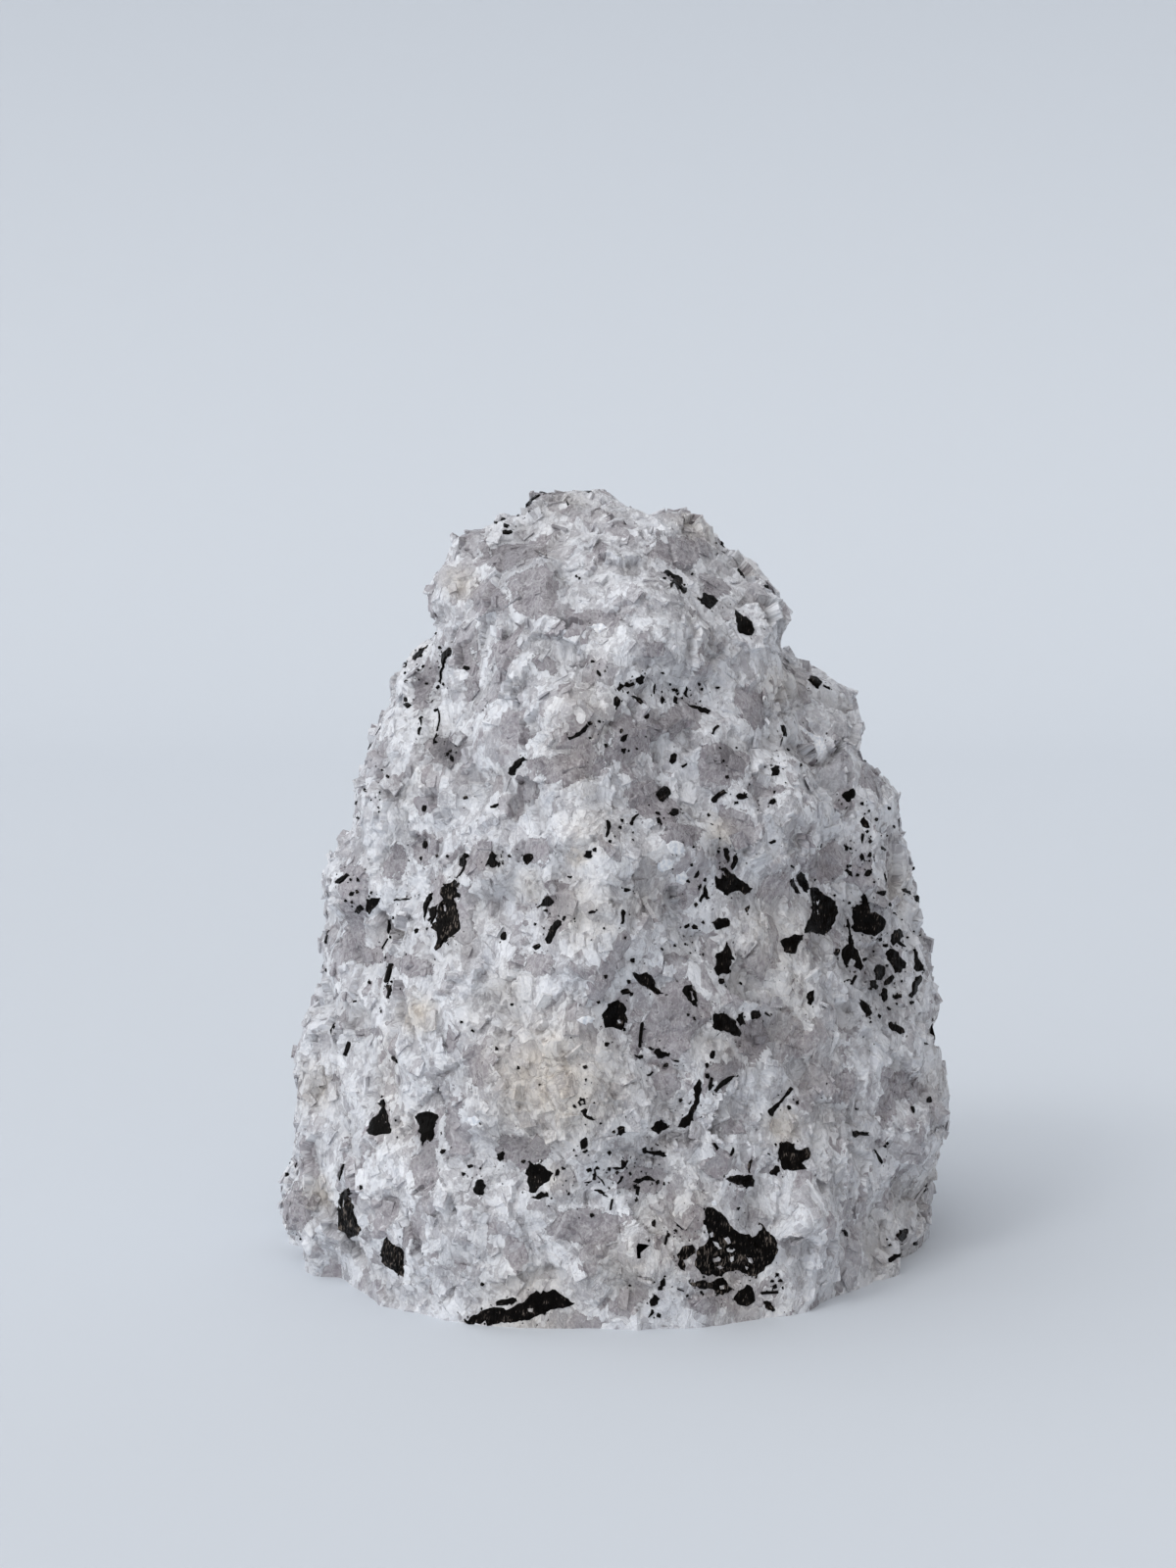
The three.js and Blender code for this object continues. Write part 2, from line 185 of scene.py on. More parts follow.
# Larger black crystals: outlines in pixels, corner by corner, from the top of the stone to its foot
OUTLINES = [
    # the head and its shoulder
    [(677, 584), (680, 581), (684, 583), (687, 586), (692, 587), (696, 590), (697, 594), (694, 597),
     (697, 600), (701, 600), (701, 603), (697, 606), (694, 601), (690, 599), (687, 596), (684, 600),
     (683, 596), (687, 591), (684, 587), (680, 587)],
    [(711, 609), (715, 611), (717, 605), (722, 607), (728, 608), (733, 613), (730, 617), (725, 622),
     (720, 619), (715, 616)],
    [(750, 622), (756, 627), (763, 631), (768, 637), (770, 643), (767, 648), (760, 648), (754, 646),
     (752, 636)],
    [(824, 694), (827, 690), (834, 691), (839, 696), (835, 703), (829, 699)],
    [(650, 690), (655, 688), (658, 691), (657, 697), (653, 699), (649, 696)],
    [(629, 703), (632, 698), (637, 699), (639, 695), (642, 698), (646, 696), (648, 699), (641, 702),
     (636, 701), (632, 706)],
    [(626, 714), (629, 710), (633, 714), (632, 720), (629, 725), (626, 720)],
    [(675, 710), (679, 714), (676, 719), (674, 717)],
    [(688, 710), (692, 713), (691, 719), (687, 717)],
    [(700, 700), (702, 703), (701, 709), (703, 712), (699, 711), (697, 708), (699, 704)],
    [(701, 718), (708, 720), (714, 721), (720, 722), (725, 725), (722, 729), (715, 727), (708, 723)],
    [(633, 756), (636, 750), (640, 749), (640, 753), (636, 757)],
    [(683, 777), (684, 770), (688, 768), (691, 770), (690, 776), (686, 780)],
    [(796, 740), (800, 740), (802, 747), (802, 752), (799, 751), (797, 745)],
    [(786, 784), (791, 781), (795, 782), (796, 787), (794, 791), (787, 792), (788, 788)],
    [(783, 821), (786, 816), (790, 814), (792, 818), (788, 821)],
    [(859, 811), (862, 808), (866, 807), (870, 804), (873, 809), (871, 815), (866, 819), (862, 816)],
    # the left brow and the left side
    [(447, 695), (449, 689), (452, 680), (451, 672), (453, 665), (458, 660), (461, 661), (461, 667),
     (457, 671), (455, 676), (452, 684), (451, 690), (450, 697)],
    [(421, 673), (425, 666), (428, 662), (437, 658), (433, 663), (430, 668), (424, 674)],
    [(374, 917), (388, 916), (384, 925), (377, 933), (373, 930)],
    [(439, 912), (442, 911), (441, 918), (437, 925), (436, 931), (434, 940), (432, 936), (432, 930),
     (433, 922), (436, 916)],
    [(438, 928), (441, 925), (446, 924), (446, 931), (444, 938), (440, 944), (439, 936)],
    [(496, 884), (498, 877), (499, 872), (502, 868), (506, 872), (505, 876), (509, 880), (506, 884),
     (502, 886), (499, 881)],
    [(534, 873), (538, 871), (544, 872), (545, 876), (541, 880), (538, 883), (534, 879)],
    [(548, 927), (552, 923), (554, 918), (558, 914), (561, 914), (562, 917), (566, 920), (562, 924),
     (556, 925), (552, 925)],
    [(558, 963), (556, 958), (558, 955), (561, 948), (565, 941), (569, 938), (573, 940), (571, 946),
     (567, 952), (564, 958), (561, 963)],
    [(385, 1126), (392, 1121), (393, 1128), (395, 1136), (397, 1145), (399, 1156), (391, 1157),
     (384, 1159), (376, 1157), (374, 1153), (377, 1146), (381, 1140), (386, 1136), (390, 1130)],
    [(423, 1139), (427, 1136), (434, 1134), (441, 1135), (447, 1137), (448, 1140), (444, 1146),
     (443, 1152), (444, 1158), (442, 1162), (439, 1165), (436, 1163), (433, 1166), (431, 1170),
     (429, 1163), (430, 1157), (426, 1154), (428, 1149), (425, 1144)],
    # the middle
    [(730, 905), (730, 893), (733, 896), (736, 897), (737, 892), (735, 887), (740, 885), (745, 890),
     (752, 895), (760, 901), (768, 906), (765, 911), (760, 913), (755, 909), (748, 910), (742, 914),
     (735, 909)],
    [(738, 866), (743, 865), (745, 875), (742, 881), (740, 876)],
    [(745, 884), (748, 878), (750, 872), (753, 876), (750, 885), (747, 888)],
    [(719, 903), (721, 908), (724, 917), (721, 918), (719, 915), (715, 921), (713, 919), (717, 912)],
    [(726, 941), (732, 937), (740, 936), (745, 940), (744, 945), (738, 947), (731, 949), (729, 945)],
    [(741, 961), (744, 966), (748, 975), (750, 980), (746, 979), (746, 985), (744, 993), (738, 993),
     (733, 996), (730, 992), (728, 988), (731, 982), (730, 976), (733, 972), (738, 970), (740, 966)],
    [(696, 1011), (701, 1005), (706, 1004), (710, 1012), (712, 1027), (707, 1026), (702, 1021),
     (698, 1015)],
    [(727, 1035), (735, 1034), (743, 1036), (749, 1040), (753, 1048), (757, 1054), (755, 1058),
     (749, 1057), (741, 1053), (733, 1051), (727, 1048)],
    [(751, 1041), (753, 1035), (758, 1033), (758, 1040), (760, 1045), (755, 1047)],
    [(614, 1036), (618, 1030), (620, 1024), (625, 1022), (631, 1020), (636, 1024), (639, 1028),
     (638, 1034), (641, 1041), (638, 1042), (637, 1046), (634, 1051), (628, 1049), (621, 1048),
     (617, 1049), (616, 1042)],
    [(645, 992), (652, 994), (660, 991), (668, 1000), (670, 1008), (677, 1014), (668, 1014), (660, 1008),
     (652, 1003)],
    [(647, 1076), (651, 1077), (656, 1077), (656, 1080), (651, 1080)],
    [(667, 1074), (669, 1070), (673, 1069), (676, 1073), (682, 1075), (683, 1078), (676, 1080),
     (671, 1079)],
    [(708, 1124), (708, 1108), (711, 1104), (713, 1101), (716, 1105), (716, 1112), (714, 1122),
     (709, 1134), (707, 1146), (699, 1151), (692, 1150), (696, 1141), (702, 1137)],
    [(728, 1113), (733, 1106), (741, 1100), (750, 1098), (744, 1104), (736, 1110), (731, 1115)],
    [(592, 1120), (597, 1121), (598, 1127), (592, 1129), (589, 1125)],
    [(592, 1134), (597, 1131), (602, 1135), (607, 1143), (600, 1142), (595, 1138)],
    [(664, 1151), (668, 1145), (675, 1142), (680, 1147), (682, 1151), (675, 1154), (672, 1158),
     (668, 1155)],
    [(592, 1170), (593, 1163), (598, 1160), (600, 1165), (597, 1172), (593, 1173)],
    [(655, 1173), (659, 1170), (660, 1174), (668, 1175), (674, 1174), (680, 1176), (688, 1178),
     (682, 1180), (676, 1181), (671, 1179), (664, 1178), (656, 1176)],
    [(645, 1206), (649, 1202), (653, 1203), (658, 1200), (664, 1201), (669, 1205), (661, 1205),
     (655, 1206), (652, 1208)],
    # the right side
    [(826, 906), (832, 905), (841, 913), (850, 918), (855, 925), (854, 934), (850, 943), (846, 950),
     (840, 954), (836, 953), (828, 951), (821, 952), (822, 945), (826, 938), (828, 932), (828, 920),
     (826, 913)],
    [(813, 893), (817, 889), (821, 892), (824, 899), (826, 907), (823, 911), (818, 906), (814, 900)],
    [(806, 898), (810, 896), (812, 903), (816, 912), (811, 911), (807, 904)],
    [(796, 961), (801, 957), (810, 953), (820, 954), (819, 959), (815, 963), (812, 972), (805, 973),
     (800, 971), (798, 965)],
    [(861, 888), (864, 886), (869, 889), (870, 895), (867, 894), (864, 890)],
    [(894, 911), (898, 909), (904, 909), (904, 913), (899, 914)],
    [(920, 907), (924, 906), (928, 909), (929, 913), (925, 911), (921, 910)],
    [(931, 914), (936, 913), (939, 917), (938, 922), (934, 919)],
    [(870, 926), (874, 923), (879, 922), (878, 915), (881, 911), (884, 915), (886, 922), (888, 931),
     (893, 930), (899, 934), (903, 938), (904, 943), (901, 949), (897, 952), (893, 957), (889, 954),
     (882, 953), (876, 951), (871, 950), (868, 946), (871, 942), (869, 936)],
    [(859, 969), (862, 966), (866, 963), (865, 955), (869, 954), (871, 965), (876, 971), (878, 978),
     (881, 985), (878, 991), (874, 988), (871, 986), (873, 981), (869, 978), (867, 980), (865, 984),
     (862, 985), (859, 978)],
    [(909, 954), (912, 949), (917, 947), (921, 951), (922, 956), (918, 960), (924, 966), (920, 966),
     (915, 962), (911, 965), (908, 960)],
    [(903, 974), (908, 968), (914, 970), (920, 977), (925, 983), (924, 988), (918, 993), (913, 993),
     (909, 984), (905, 979)],
    [(902, 1004), (905, 999), (910, 994), (913, 998), (908, 1004), (902, 1006)],
    [(893, 986), (898, 984), (903, 987), (903, 994), (899, 1000), (893, 1000), (892, 993)],
    [(887, 1001), (893, 1000), (896, 1006), (893, 1010), (889, 1008)],
    [(901, 1008), (905, 1010), (905, 1020), (902, 1023), (898, 1015)],
    [(910, 1017), (915, 1014), (920, 1014), (920, 1018), (913, 1020)],
    [(931, 967), (936, 972), (938, 980), (942, 985), (943, 991), (936, 992), (932, 988), (933, 978)],
    [(930, 1006), (934, 997), (939, 995), (941, 1001), (937, 1006), (935, 1014), (930, 1019), (927, 1016),
     (931, 1010)],
    [(876, 1019), (880, 1020), (885, 1024), (890, 1034), (887, 1037), (882, 1034), (878, 1027)],
    [(823, 1018), (826, 1012), (830, 1010), (831, 1018), (827, 1026), (824, 1024)],
    [(906, 1043), (914, 1045), (922, 1049), (923, 1054), (919, 1056), (908, 1050)],
    [(783, 1133), (787, 1130), (792, 1126), (797, 1121), (802, 1115), (806, 1109), (809, 1111),
     (804, 1118), (798, 1125), (793, 1131), (790, 1135), (788, 1139), (785, 1138)],
    [(741, 1203), (745, 1200), (752, 1199), (762, 1199), (768, 1199), (770, 1204), (769, 1211),
     (764, 1211), (761, 1213), (757, 1209), (750, 1208), (744, 1206)],
    [(795, 1167), (797, 1165), (805, 1165), (811, 1167), (812, 1173), (818, 1173), (825, 1170),
     (827, 1176), (826, 1182), (821, 1184), (818, 1187), (822, 1191), (824, 1193), (812, 1194),
     (800, 1194), (797, 1190), (795, 1182), (794, 1174)],
    [(785, 1197), (789, 1193), (791, 1189), (795, 1190), (796, 1195), (793, 1200), (787, 1199)],
    # the foot
    [(537, 1193), (540, 1188), (540, 1184), (543, 1187), (546, 1189), (550, 1187), (556, 1190),
     (559, 1194), (565, 1197), (562, 1201), (558, 1206), (553, 1209), (549, 1213), (547, 1217),
     (541, 1217), (540, 1212), (538, 1206), (539, 1200), (536, 1198)],
    [(541, 1222), (546, 1221), (549, 1218), (558, 1216), (560, 1221), (551, 1224)],
    [(748, 1327), (753, 1318), (758, 1315), (762, 1310), (768, 1314), (770, 1320), (771, 1327),
     (764, 1332), (755, 1332)],
    [(508, 1332), (511, 1327), (518, 1325), (524, 1324), (528, 1328), (524, 1331), (515, 1331)],
    [(473, 1346), (478, 1348), (483, 1342), (490, 1338), (500, 1335), (510, 1334), (516, 1337),
     (522, 1334), (527, 1331), (535, 1328), (541, 1321), (547, 1317), (554, 1316), (558, 1318),
     (566, 1316), (572, 1320), (577, 1324), (582, 1328), (587, 1330), (581, 1333), (572, 1335),
     (562, 1336), (556, 1339), (548, 1343), (538, 1347), (527, 1349), (518, 1349), (509, 1350),
     (500, 1353), (492, 1355), (484, 1354), (477, 1353)],
]

# The grooved crystals that hold pale crumbs, written the same way
GROOVED = [
    [(451, 902), (456, 902), (461, 900), (464, 897), (466, 899), (469, 901), (466, 909), (470, 912),
     (469, 916), (463, 917), (466, 923), (467, 931), (468, 938), (470, 944), (468, 950), (463, 954),
     (457, 957), (452, 963), (450, 967), (445, 970), (443, 968), (446, 961), (445, 951), (439, 947),
     (441, 942), (445, 940), (446, 932), (447, 925), (449, 921), (452, 918), (449, 913), (450, 907)],
    [(349, 1216), (353, 1213), (356, 1212), (357, 1217), (358, 1224), (361, 1230), (361, 1238),
     (364, 1245), (366, 1250), (369, 1255), (366, 1259), (362, 1262), (357, 1264), (354, 1260),
     (350, 1257), (346, 1255), (345, 1247), (344, 1236), (345, 1226), (347, 1219)],
    [(391, 1268), (395, 1262), (399, 1268), (404, 1271), (410, 1274), (412, 1280), (412, 1289),
     (413, 1297), (412, 1303), (407, 1300), (402, 1296), (398, 1295), (393, 1292), (389, 1288),
     (390, 1283), (387, 1281), (389, 1274)],
    [(719, 1236), (721, 1232), (727, 1232), (733, 1236), (738, 1240), (743, 1245), (745, 1250),
     (749, 1254), (754, 1258), (760, 1260), (764, 1259), (768, 1263), (771, 1261), (774, 1256),
     (778, 1252), (774, 1248), (779, 1250), (784, 1257), (790, 1262), (793, 1268), (794, 1275),
     (791, 1283), (787, 1290), (781, 1293), (777, 1298), (772, 1302), (764, 1302), (758, 1299),
     (751, 1296), (746, 1297), (740, 1299), (737, 1303), (731, 1303), (727, 1300), (722, 1302),
     (716, 1300), (713, 1296), (709, 1291), (711, 1283), (711, 1277), (715, 1272), (720, 1269),
     (723, 1264), (722, 1256), (718, 1249), (717, 1246), (720, 1241)],
    [(691, 1280), (695, 1274), (700, 1271), (707, 1270), (710, 1275), (709, 1279), (703, 1283),
     (697, 1286), (700, 1292), (699, 1297), (694, 1295), (691, 1290), (693, 1285)],
    [(703, 1309), (709, 1309), (714, 1307), (720, 1307), (725, 1309), (731, 1305), (738, 1303),
     (741, 1307), (743, 1312), (748, 1315), (743, 1319), (737, 1322), (730, 1318), (724, 1315),
     (716, 1315), (708, 1313)],
]

# Bits of stone that show through the crystals
CRUMBS = [
    [(727, 1266), (733, 1269), (737, 1274), (733, 1275), (728, 1271)],
    [(739, 1264), (743, 1262), (746, 1268), (743, 1270)],
    [(741, 1274), (746, 1272), (750, 1275), (747, 1278), (742, 1277)],
    [(727, 1284), (733, 1282), (736, 1284), (732, 1288), (728, 1288)],
    [(745, 1283), (749, 1281), (749, 1286), (746, 1288)],
    [(729, 1292), (735, 1291), (740, 1293), (734, 1295)],
    [(762, 1283), (767, 1284), (768, 1290), (764, 1288)],
    [(760, 1292), (764, 1293), (762, 1296)],
    [(724, 1259), (727, 1257), (728, 1262), (725, 1263)],
    [(452, 924), (454, 923), (455, 930), (453, 929)],
    [(630, 1041), (633, 1040), (634, 1044), (631, 1044)],
    [(704, 1011), (707, 1012), (709, 1020), (706, 1021)],
    [(734, 1312), (739, 1311), (739, 1315), (735, 1316)],
    [(736, 888), (739, 889), (740, 894), (738, 893)],
    [(592, 1124), (595, 1123), (596, 1126), (593, 1127)],
    [(538, 1335), (544, 1335), (543, 1339), (539, 1338)],
]

# Grey quartz grains on the front: ((across, down), half length and half width in mm, turn in degrees)
QUARTZ_GRAINS = [
    ((524, 565), 4.4, 1.7, 12), ((498, 612), 2.2, 1.9, 0), ((546, 608), 3.2, 3.0, 10),
    ((516, 663), 2.2, 1.1, 80), ((555, 676), 1.4, 1.0, -20), ((475, 667), 1.7, 0.8, 75),
    ((483, 692), 2.3, 0.7, 85), ((455, 766), 2.0, 1.7, 0), ((432, 700), 2.8, 1.2, 70),
    ((526, 750), 1.5, 1.0, 45), ((611, 567), 1.5, 0.8, 70), ((690, 563), 3.6, 1.9, 0),
    ((733, 599), 1.9, 1.3, -10), ((668, 664), 1.2, 0.7, 0), ((610, 633), 3.4, 0.9, -5),
    ((648, 755), 3.4, 2.0, 30), ((596, 762), 2.2, 1.1, -60), ((580, 785), 3.8, 1.6, 0),
    ((363, 905), 2.9, 1.9, 85), ((362, 950), 3.6, 1.3, 85), ((435, 863), 2.0, 1.1, 80),
    ((488, 873), 2.4, 1.4, 60), ((549, 868), 1.7, 1.4, 0), ((573, 922), 2.6, 1.7, 80),
    ((545, 981), 2.1, 1.2, 10), ((491, 1089), 2.2, 1.5, -60), ((462, 1150), 3.4, 1.0, 85),
    ((437, 1192), 3.2, 1.3, 85), ((534, 1176), 3.0, 1.7, 0), ((598, 1252), 3.9, 1.9, 0),
    ((303, 1234), 3.4, 1.6, 80), ((420, 1256), 2.2, 0.9, 80), ((770, 1058), 2.0, 2.0, 0),
    ((740, 1090), 2.9, 0.9, 15), ((690, 1035), 4.4, 3.4, 60), ((652, 1055), 2.4, 0.7, 85),
    ((860, 1108), 2.2, 1.6, 70), ((926, 1108), 2.0, 1.6, 0), ((664, 820), 3.0, 2.0, -30),
    ((735, 780), 3.0, 2.4, 0), ((845, 880), 3.2, 2.2, 40), ((815, 1065), 1.9, 1.6, 0),
    ((655, 1205), 3.0, 1.6, 0), ((745, 1150), 1.3, 1.0, 0), ((905, 1120), 3.4, 1.3, 85),
    ((640, 1330), 2.2, 1.2, 10), ((725, 1330), 2.0, 1.0, 5), ((890, 790), 2.2, 1.6, 70),
    ((690, 735), 2.4, 1.6, 20), ((755, 845), 2.6, 1.8, -30), ((770, 728), 1.5, 2.4, 0),
    ((700, 852), 2.5, 1.2, 10), ((402, 882), 2.2, 1.5, 60), ((416, 985), 2.0, 1.3, 0),
    ((376, 975), 1.6, 1.1, 0), ((790, 905), 2.0, 1.4, 60), ((776, 985), 2.2, 1.4, -20),
]

# Cream and ochre stains on the front: ((across, down), radius in mm, strength)
STAINS = [
    ((560, 1105), 9.0, 0.9), ((425, 1035), 2.6, 1.0), ((590, 876), 1.5, 0.9), ((520, 1012), 3.4, 0.45),
    ((540, 905), 2.4, 0.5), ((322, 1110), 3.6, 0.5), ((325, 1216), 2.2, 0.8), ((592, 930), 5.0, 0.5),
    ((735, 850), 2.2, 0.7), ((620, 1110), 4.0, 0.5), ((470, 595), 2.4, 0.7), ((540, 1345), 7.0, 0.6),
    ((800, 1150), 2.6, 0.8), ((570, 1200), 2.4, 0.6), ((790, 960), 7.0, 0.4), ((800, 700), 3.0, 0.5),
    ((600, 850), 4.0, 0.4), ((960, 1100), 3.0, 0.3), ((640, 1295), 5.0, 0.5), ((500, 880), 1.6, 0.5),
]

# Quartz darkened by tourmaline dust, and a few spots of painted shade, such as under a ledge: ((across,
# down), radius in mm, strength)
DUST_AND_PAINTED_SHADE = [
    ((455, 766), 2.1, 1.0), ((447, 690), 1.2, 0.4), ((432, 700), 1.6, 0.4), ((506, 877), 1.8, 0.5),
    ((740, 772), 1.8, 0.7), ((770, 1056), 2.0, 0.45), ((757, 915), 1.8, 0.6), ((745, 1088), 1.4, 0.5),
    ((660, 1188), 2.6, 0.45), ((640, 1212), 1.2, 0.5), ((762, 1246), 1.4, 0.6), ((886, 935), 3.4, 0.7),
    ((893, 1000), 3.4, 0.7), ((865, 985), 1.8, 0.6), ((832, 962), 1.5, 0.5), ((860, 944), 1.2, 0.35),
    ((654, 1056), 0.8, 0.7), ((733, 870), 2.0, 0.4), ((436, 1180), 1.6, 0.35), ((575, 922), 1.8, 0.3),
    ((905, 1030), 3.2, 0.55), ((536, 690), 1.2, 0.2), ((690, 1035), 2.6, 0.25), ((524, 565), 3.4, 0.25),
]

# Cleavage faces whose glint is painted in as near-white patches: outlines in pixels
PAINTED_GLINTS = [
    [(812, 739), (820, 742), (828, 748), (836, 751), (841, 756), (843, 765), (839, 770), (834, 772),
     (832, 764), (831, 757), (825, 751), (818, 745)],
    [(679, 862), (688, 858), (697, 861), (700, 868), (694, 872), (684, 870)],
    [(672, 880), (680, 876), (688, 878), (686, 886), (677, 890), (671, 887)],
    [(690, 892), (698, 889), (703, 895), (697, 903), (690, 900)],
    [(726, 1226), (730, 1225), (731, 1230), (727, 1231)],
    [(588, 1040), (600, 1036), (608, 1040), (598, 1046)],
    [(476, 1142), (484, 1138), (490, 1144), (483, 1150)],
    [(600, 640), (612, 636), (620, 640), (610, 646)],
]

# Where the softened block is drawn in or out to the photograph's outline: a place on its front view (x and
# z), how far the pull reaches, and the pull in x and z, all in mm
PULLS = [
    ((-27.4, 85.6), 3.6, (2.4, 0.0)), ((-29.6, 79.8), 2.6, (-2.2, 0.0)), ((24.6, 83.6), 3.8, (-2.2, -0.3)),
    ((28.6, 80.6), 2.8, (0.2, -0.5)), ((4.0, 103.4), 2.6, (0.4, -1.7)), ((0.6, 104.0), 1.6, (-0.6, 0.4)),
    ((-13.6, 104.0), 2.6, (0.6, -1.9)), ((16.5, 98.1), 4.2, (-0.9, -1.3)), ((-21.1, 96.8), 3.2, (-1.3, 0.9)),
    ((35.2, 69.3), 2.6, (-1.6, -0.7)), ((-43.0, 1.5), 5.0, (1.8, 0.0)), ((45.6, 8.5), 5.0, (-1.3, 0.0)),
    ((-37.5, 54.0), 4.0, (-0.6, 0.0)), ((35.5, 75.0), 3.0, (0.7, 0.0)), ((-43.5, 9.0), 5.0, (-1.4, 0.0)),
    ((-43.8, 30.5), 3.5, (1.4, 0.0)), ((38.0, 63.0), 3.0, (1.2, 0.0)), ((42.0, 50.6), 3.5, (-1.4, 0.0)),
]


def linear(hex_colour):
    """An sRGB hex colour as linear red, green, blue and full alpha."""
    channels = [int(hex_colour[i:i + 2], 16) / 255 for i in (1, 3, 5)]
    return [c / 12.92 if c <= 0.04045 else ((c + 0.055) / 1.055) ** 2.4 for c in channels] + [1.0]


# The kinds of node that are used most, and their settings
MATH = "ShaderNodeMath"
VECTOR = "ShaderNodeVectorMath"
RANGE = "ShaderNodeMapRange"
NOISE = "ShaderNodeTexNoise"
VORONOI = "ShaderNodeTexVoronoi"
NEAREST = {"feature": "F1", "distance": "CHEBYCHEV"}
SECOND = {"feature": "F2", "distance": "CHEBYCHEV"}
MIX = "ShaderNodeMix"
COLOURS = {"data_type": "RGBA"}
TINTED = {"data_type": "RGBA", "blend_type": "MULTIPLY"}
RANDOM = "FunctionNodeRandomValue"
VECTORS = {"data_type": "FLOAT_VECTOR"}
STORE = "GeometryNodeStoreNamedAttribute"
READ = "GeometryNodeInputNamedAttribute"


def add(tree, kind, settings=None, *values, **named):
    """Adds a node. Its settings are a dictionary, or the name of its operation. The values go to its inputs
    in use, in order, and the named ones to the inputs of those names. A value is a number, a socket, or a
    node, which stands for its first output in use."""
    node = tree.nodes.new(kind)
    if isinstance(settings, str):
        settings = {"operation": settings}
    for name, value in (settings or {}).items():
        setattr(node, name, value)
    in_use = [socket for socket in node.inputs if socket.enabled]
    given = [(node.inputs[name.replace("_", " ")], value) for name, value in named.items()]
    for socket, value in [*zip(in_use, values), *given]:
        if isinstance(value, bpy.types.Node):
            value = next(output for output in value.outputs if output.enabled)
        if isinstance(value, bpy.types.NodeSocket):
            tree.links.new(value, socket)
        else:
            socket.default_value = value
    return node


class StoneSettings(bpy.types.PropertyGroup):
    """Sizes and colours of the broken stone"""
    mesh_step: bpy.props.FloatProperty(
        name="Mesh step", description="Width of one face of the stone's skin, in millimetres",
        default=0.44, min=0.4, max=3.0)
    facet_share: bpy.props.FloatProperty(
        name="Facet share", description="Share of the skin's faces that is kept when flat ones are joined",
        default=0.485, min=0.05, max=1.0)
    soften: bpy.props.IntProperty(
        name="Soften", description="How often the form is smoothed before the grains are broken into it",
        default=7, min=0, max=30)
    plate: bpy.props.FloatProperty(
        name="Plate", description="Width of a large broken plate, in millimetres", default=7.0, min=1.0)
    grain: bpy.props.FloatProperty(
        name="Grain", description="Width of one mineral grain, in millimetres", default=3.0, min=0.5)
    chip: bpy.props.FloatProperty(
        name="Chip", description="Width of one small broken face, in millimetres", default=1.25, min=0.3)
    relief: bpy.props.FloatProperty(
        name="Relief", description="How steeply the broken faces tilt", default=0.93, min=0.0, max=3.0)
    chip_gap: bpy.props.FloatProperty(
        name="Chip gap", description="Least distance between two cleavage chips, in millimetres",
        default=3.0, min=0.8, max=10.0)
    chip_size: bpy.props.FloatProperty(
        name="Chip size", description="Length of the largest cleavage chips, in millimetres",
        default=2.9, min=0.2, max=6.0)
    feldspar_pale: bpy.props.StringProperty(
        name="Pale feldspar", description="sRGB colour of a clean feldspar face", default="#EFF0F4")
    feldspar_grey: bpy.props.StringProperty(
        name="Grey feldspar", description="sRGB colour of a dull feldspar face", default="#CDCED4")
    quartz_pale: bpy.props.StringProperty(
        name="Pale quartz", description="sRGB colour of a thin quartz grain", default="#A39DA2")
    quartz_dark: bpy.props.StringProperty(
        name="Dark quartz", description="sRGB colour of a thick quartz grain", default="#777176")
    stain: bpy.props.StringProperty(
        name="Stain", description="sRGB colour of the iron stain", default="#EDE2D2")
    seed: bpy.props.IntProperty(name="Seed", description="Seed of the grains", default=7)


class TourmalineSettings(bpy.types.PropertyGroup):
    """Sizes and colours of the black tourmaline"""
    rise: bpy.props.FloatProperty(
        name="Rise", description="How far a crystal stands out of the stone, in millimetres",
        default=0.24, min=0.0, max=1.0)
    sink: bpy.props.FloatProperty(
        name="Sink", description="How deep a crystal goes into the stone, in millimetres",
        default=1.1, min=0.2, max=4.0)
    scatter: bpy.props.IntProperty(
        name="Scatter", description="Crystals on the sides that the photograph doesn't show",
        default=230, min=0, max=2000)
    black: bpy.props.StringProperty(
        name="Black", description="sRGB colour of a clean crystal face", default="#060403")
    brown: bpy.props.StringProperty(
        name="Brown", description="sRGB colour of a thin crystal edge", default="#14100E")
    seed: bpy.props.IntProperty(name="Seed", description="Seed of the crystals", default=21)


class StageSettings(bpy.types.PropertyGroup):
    """The camera, the floor and the light"""
    lens: bpy.props.FloatProperty(
        name="Lens", description="Focal length of the camera, in millimetres", default=52.0, min=10.0)
    eye: bpy.props.FloatVectorProperty(
        name="Eye", description="Place of the camera", subtype="TRANSLATION", unit="LENGTH",
        default=(-0.0036, -0.3121, 0.0916))
    pitch: bpy.props.FloatProperty(
        name="Pitch", description="How far the camera looks down", subtype="ANGLE",
        default=math.radians(5))
    floor: bpy.props.StringProperty(
        name="Floor", description="sRGB colour of the floor", default="#D9DEE4")
    key_strength: bpy.props.FloatProperty(
        name="Key light", description="Strength of the light from the upper left and front",
        default=0.84, min=0.0)
    sky_strength: bpy.props.FloatProperty(
        name="Sky", description="Strength of the soft light from all sides", default=0.635, min=0.0)


def own_mesh(name, mesh, materials):
    """A piece of the specimen: an object at the origin whose place is in its mesh."""
    piece = bpy.data.objects.new(name, mesh)
    bpy.context.scene.collection.objects.link(piece)
    mesh.materials.clear()
    for material in materials:
        mesh.materials.append(material)
    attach(piece, "root")
    return piece


def evaluated_mesh(piece):
    """The piece's mesh with its modifiers applied."""
    graph = bpy.context.evaluated_depsgraph_get()
    return bpy.data.meshes.new_from_object(piece.evaluated_get(graph), depsgraph=graph)


def picture_frame():
    """The camera's place, turn and focal length in pixels of the photograph."""
    stage = bpy.context.scene.quartz_stage
    turn = Euler((math.pi / 2 - stage.pitch, 0, 0)).to_matrix()
    return Vector(stage.eye), turn, stage.lens / SENSOR * PICTURE_HEIGHT


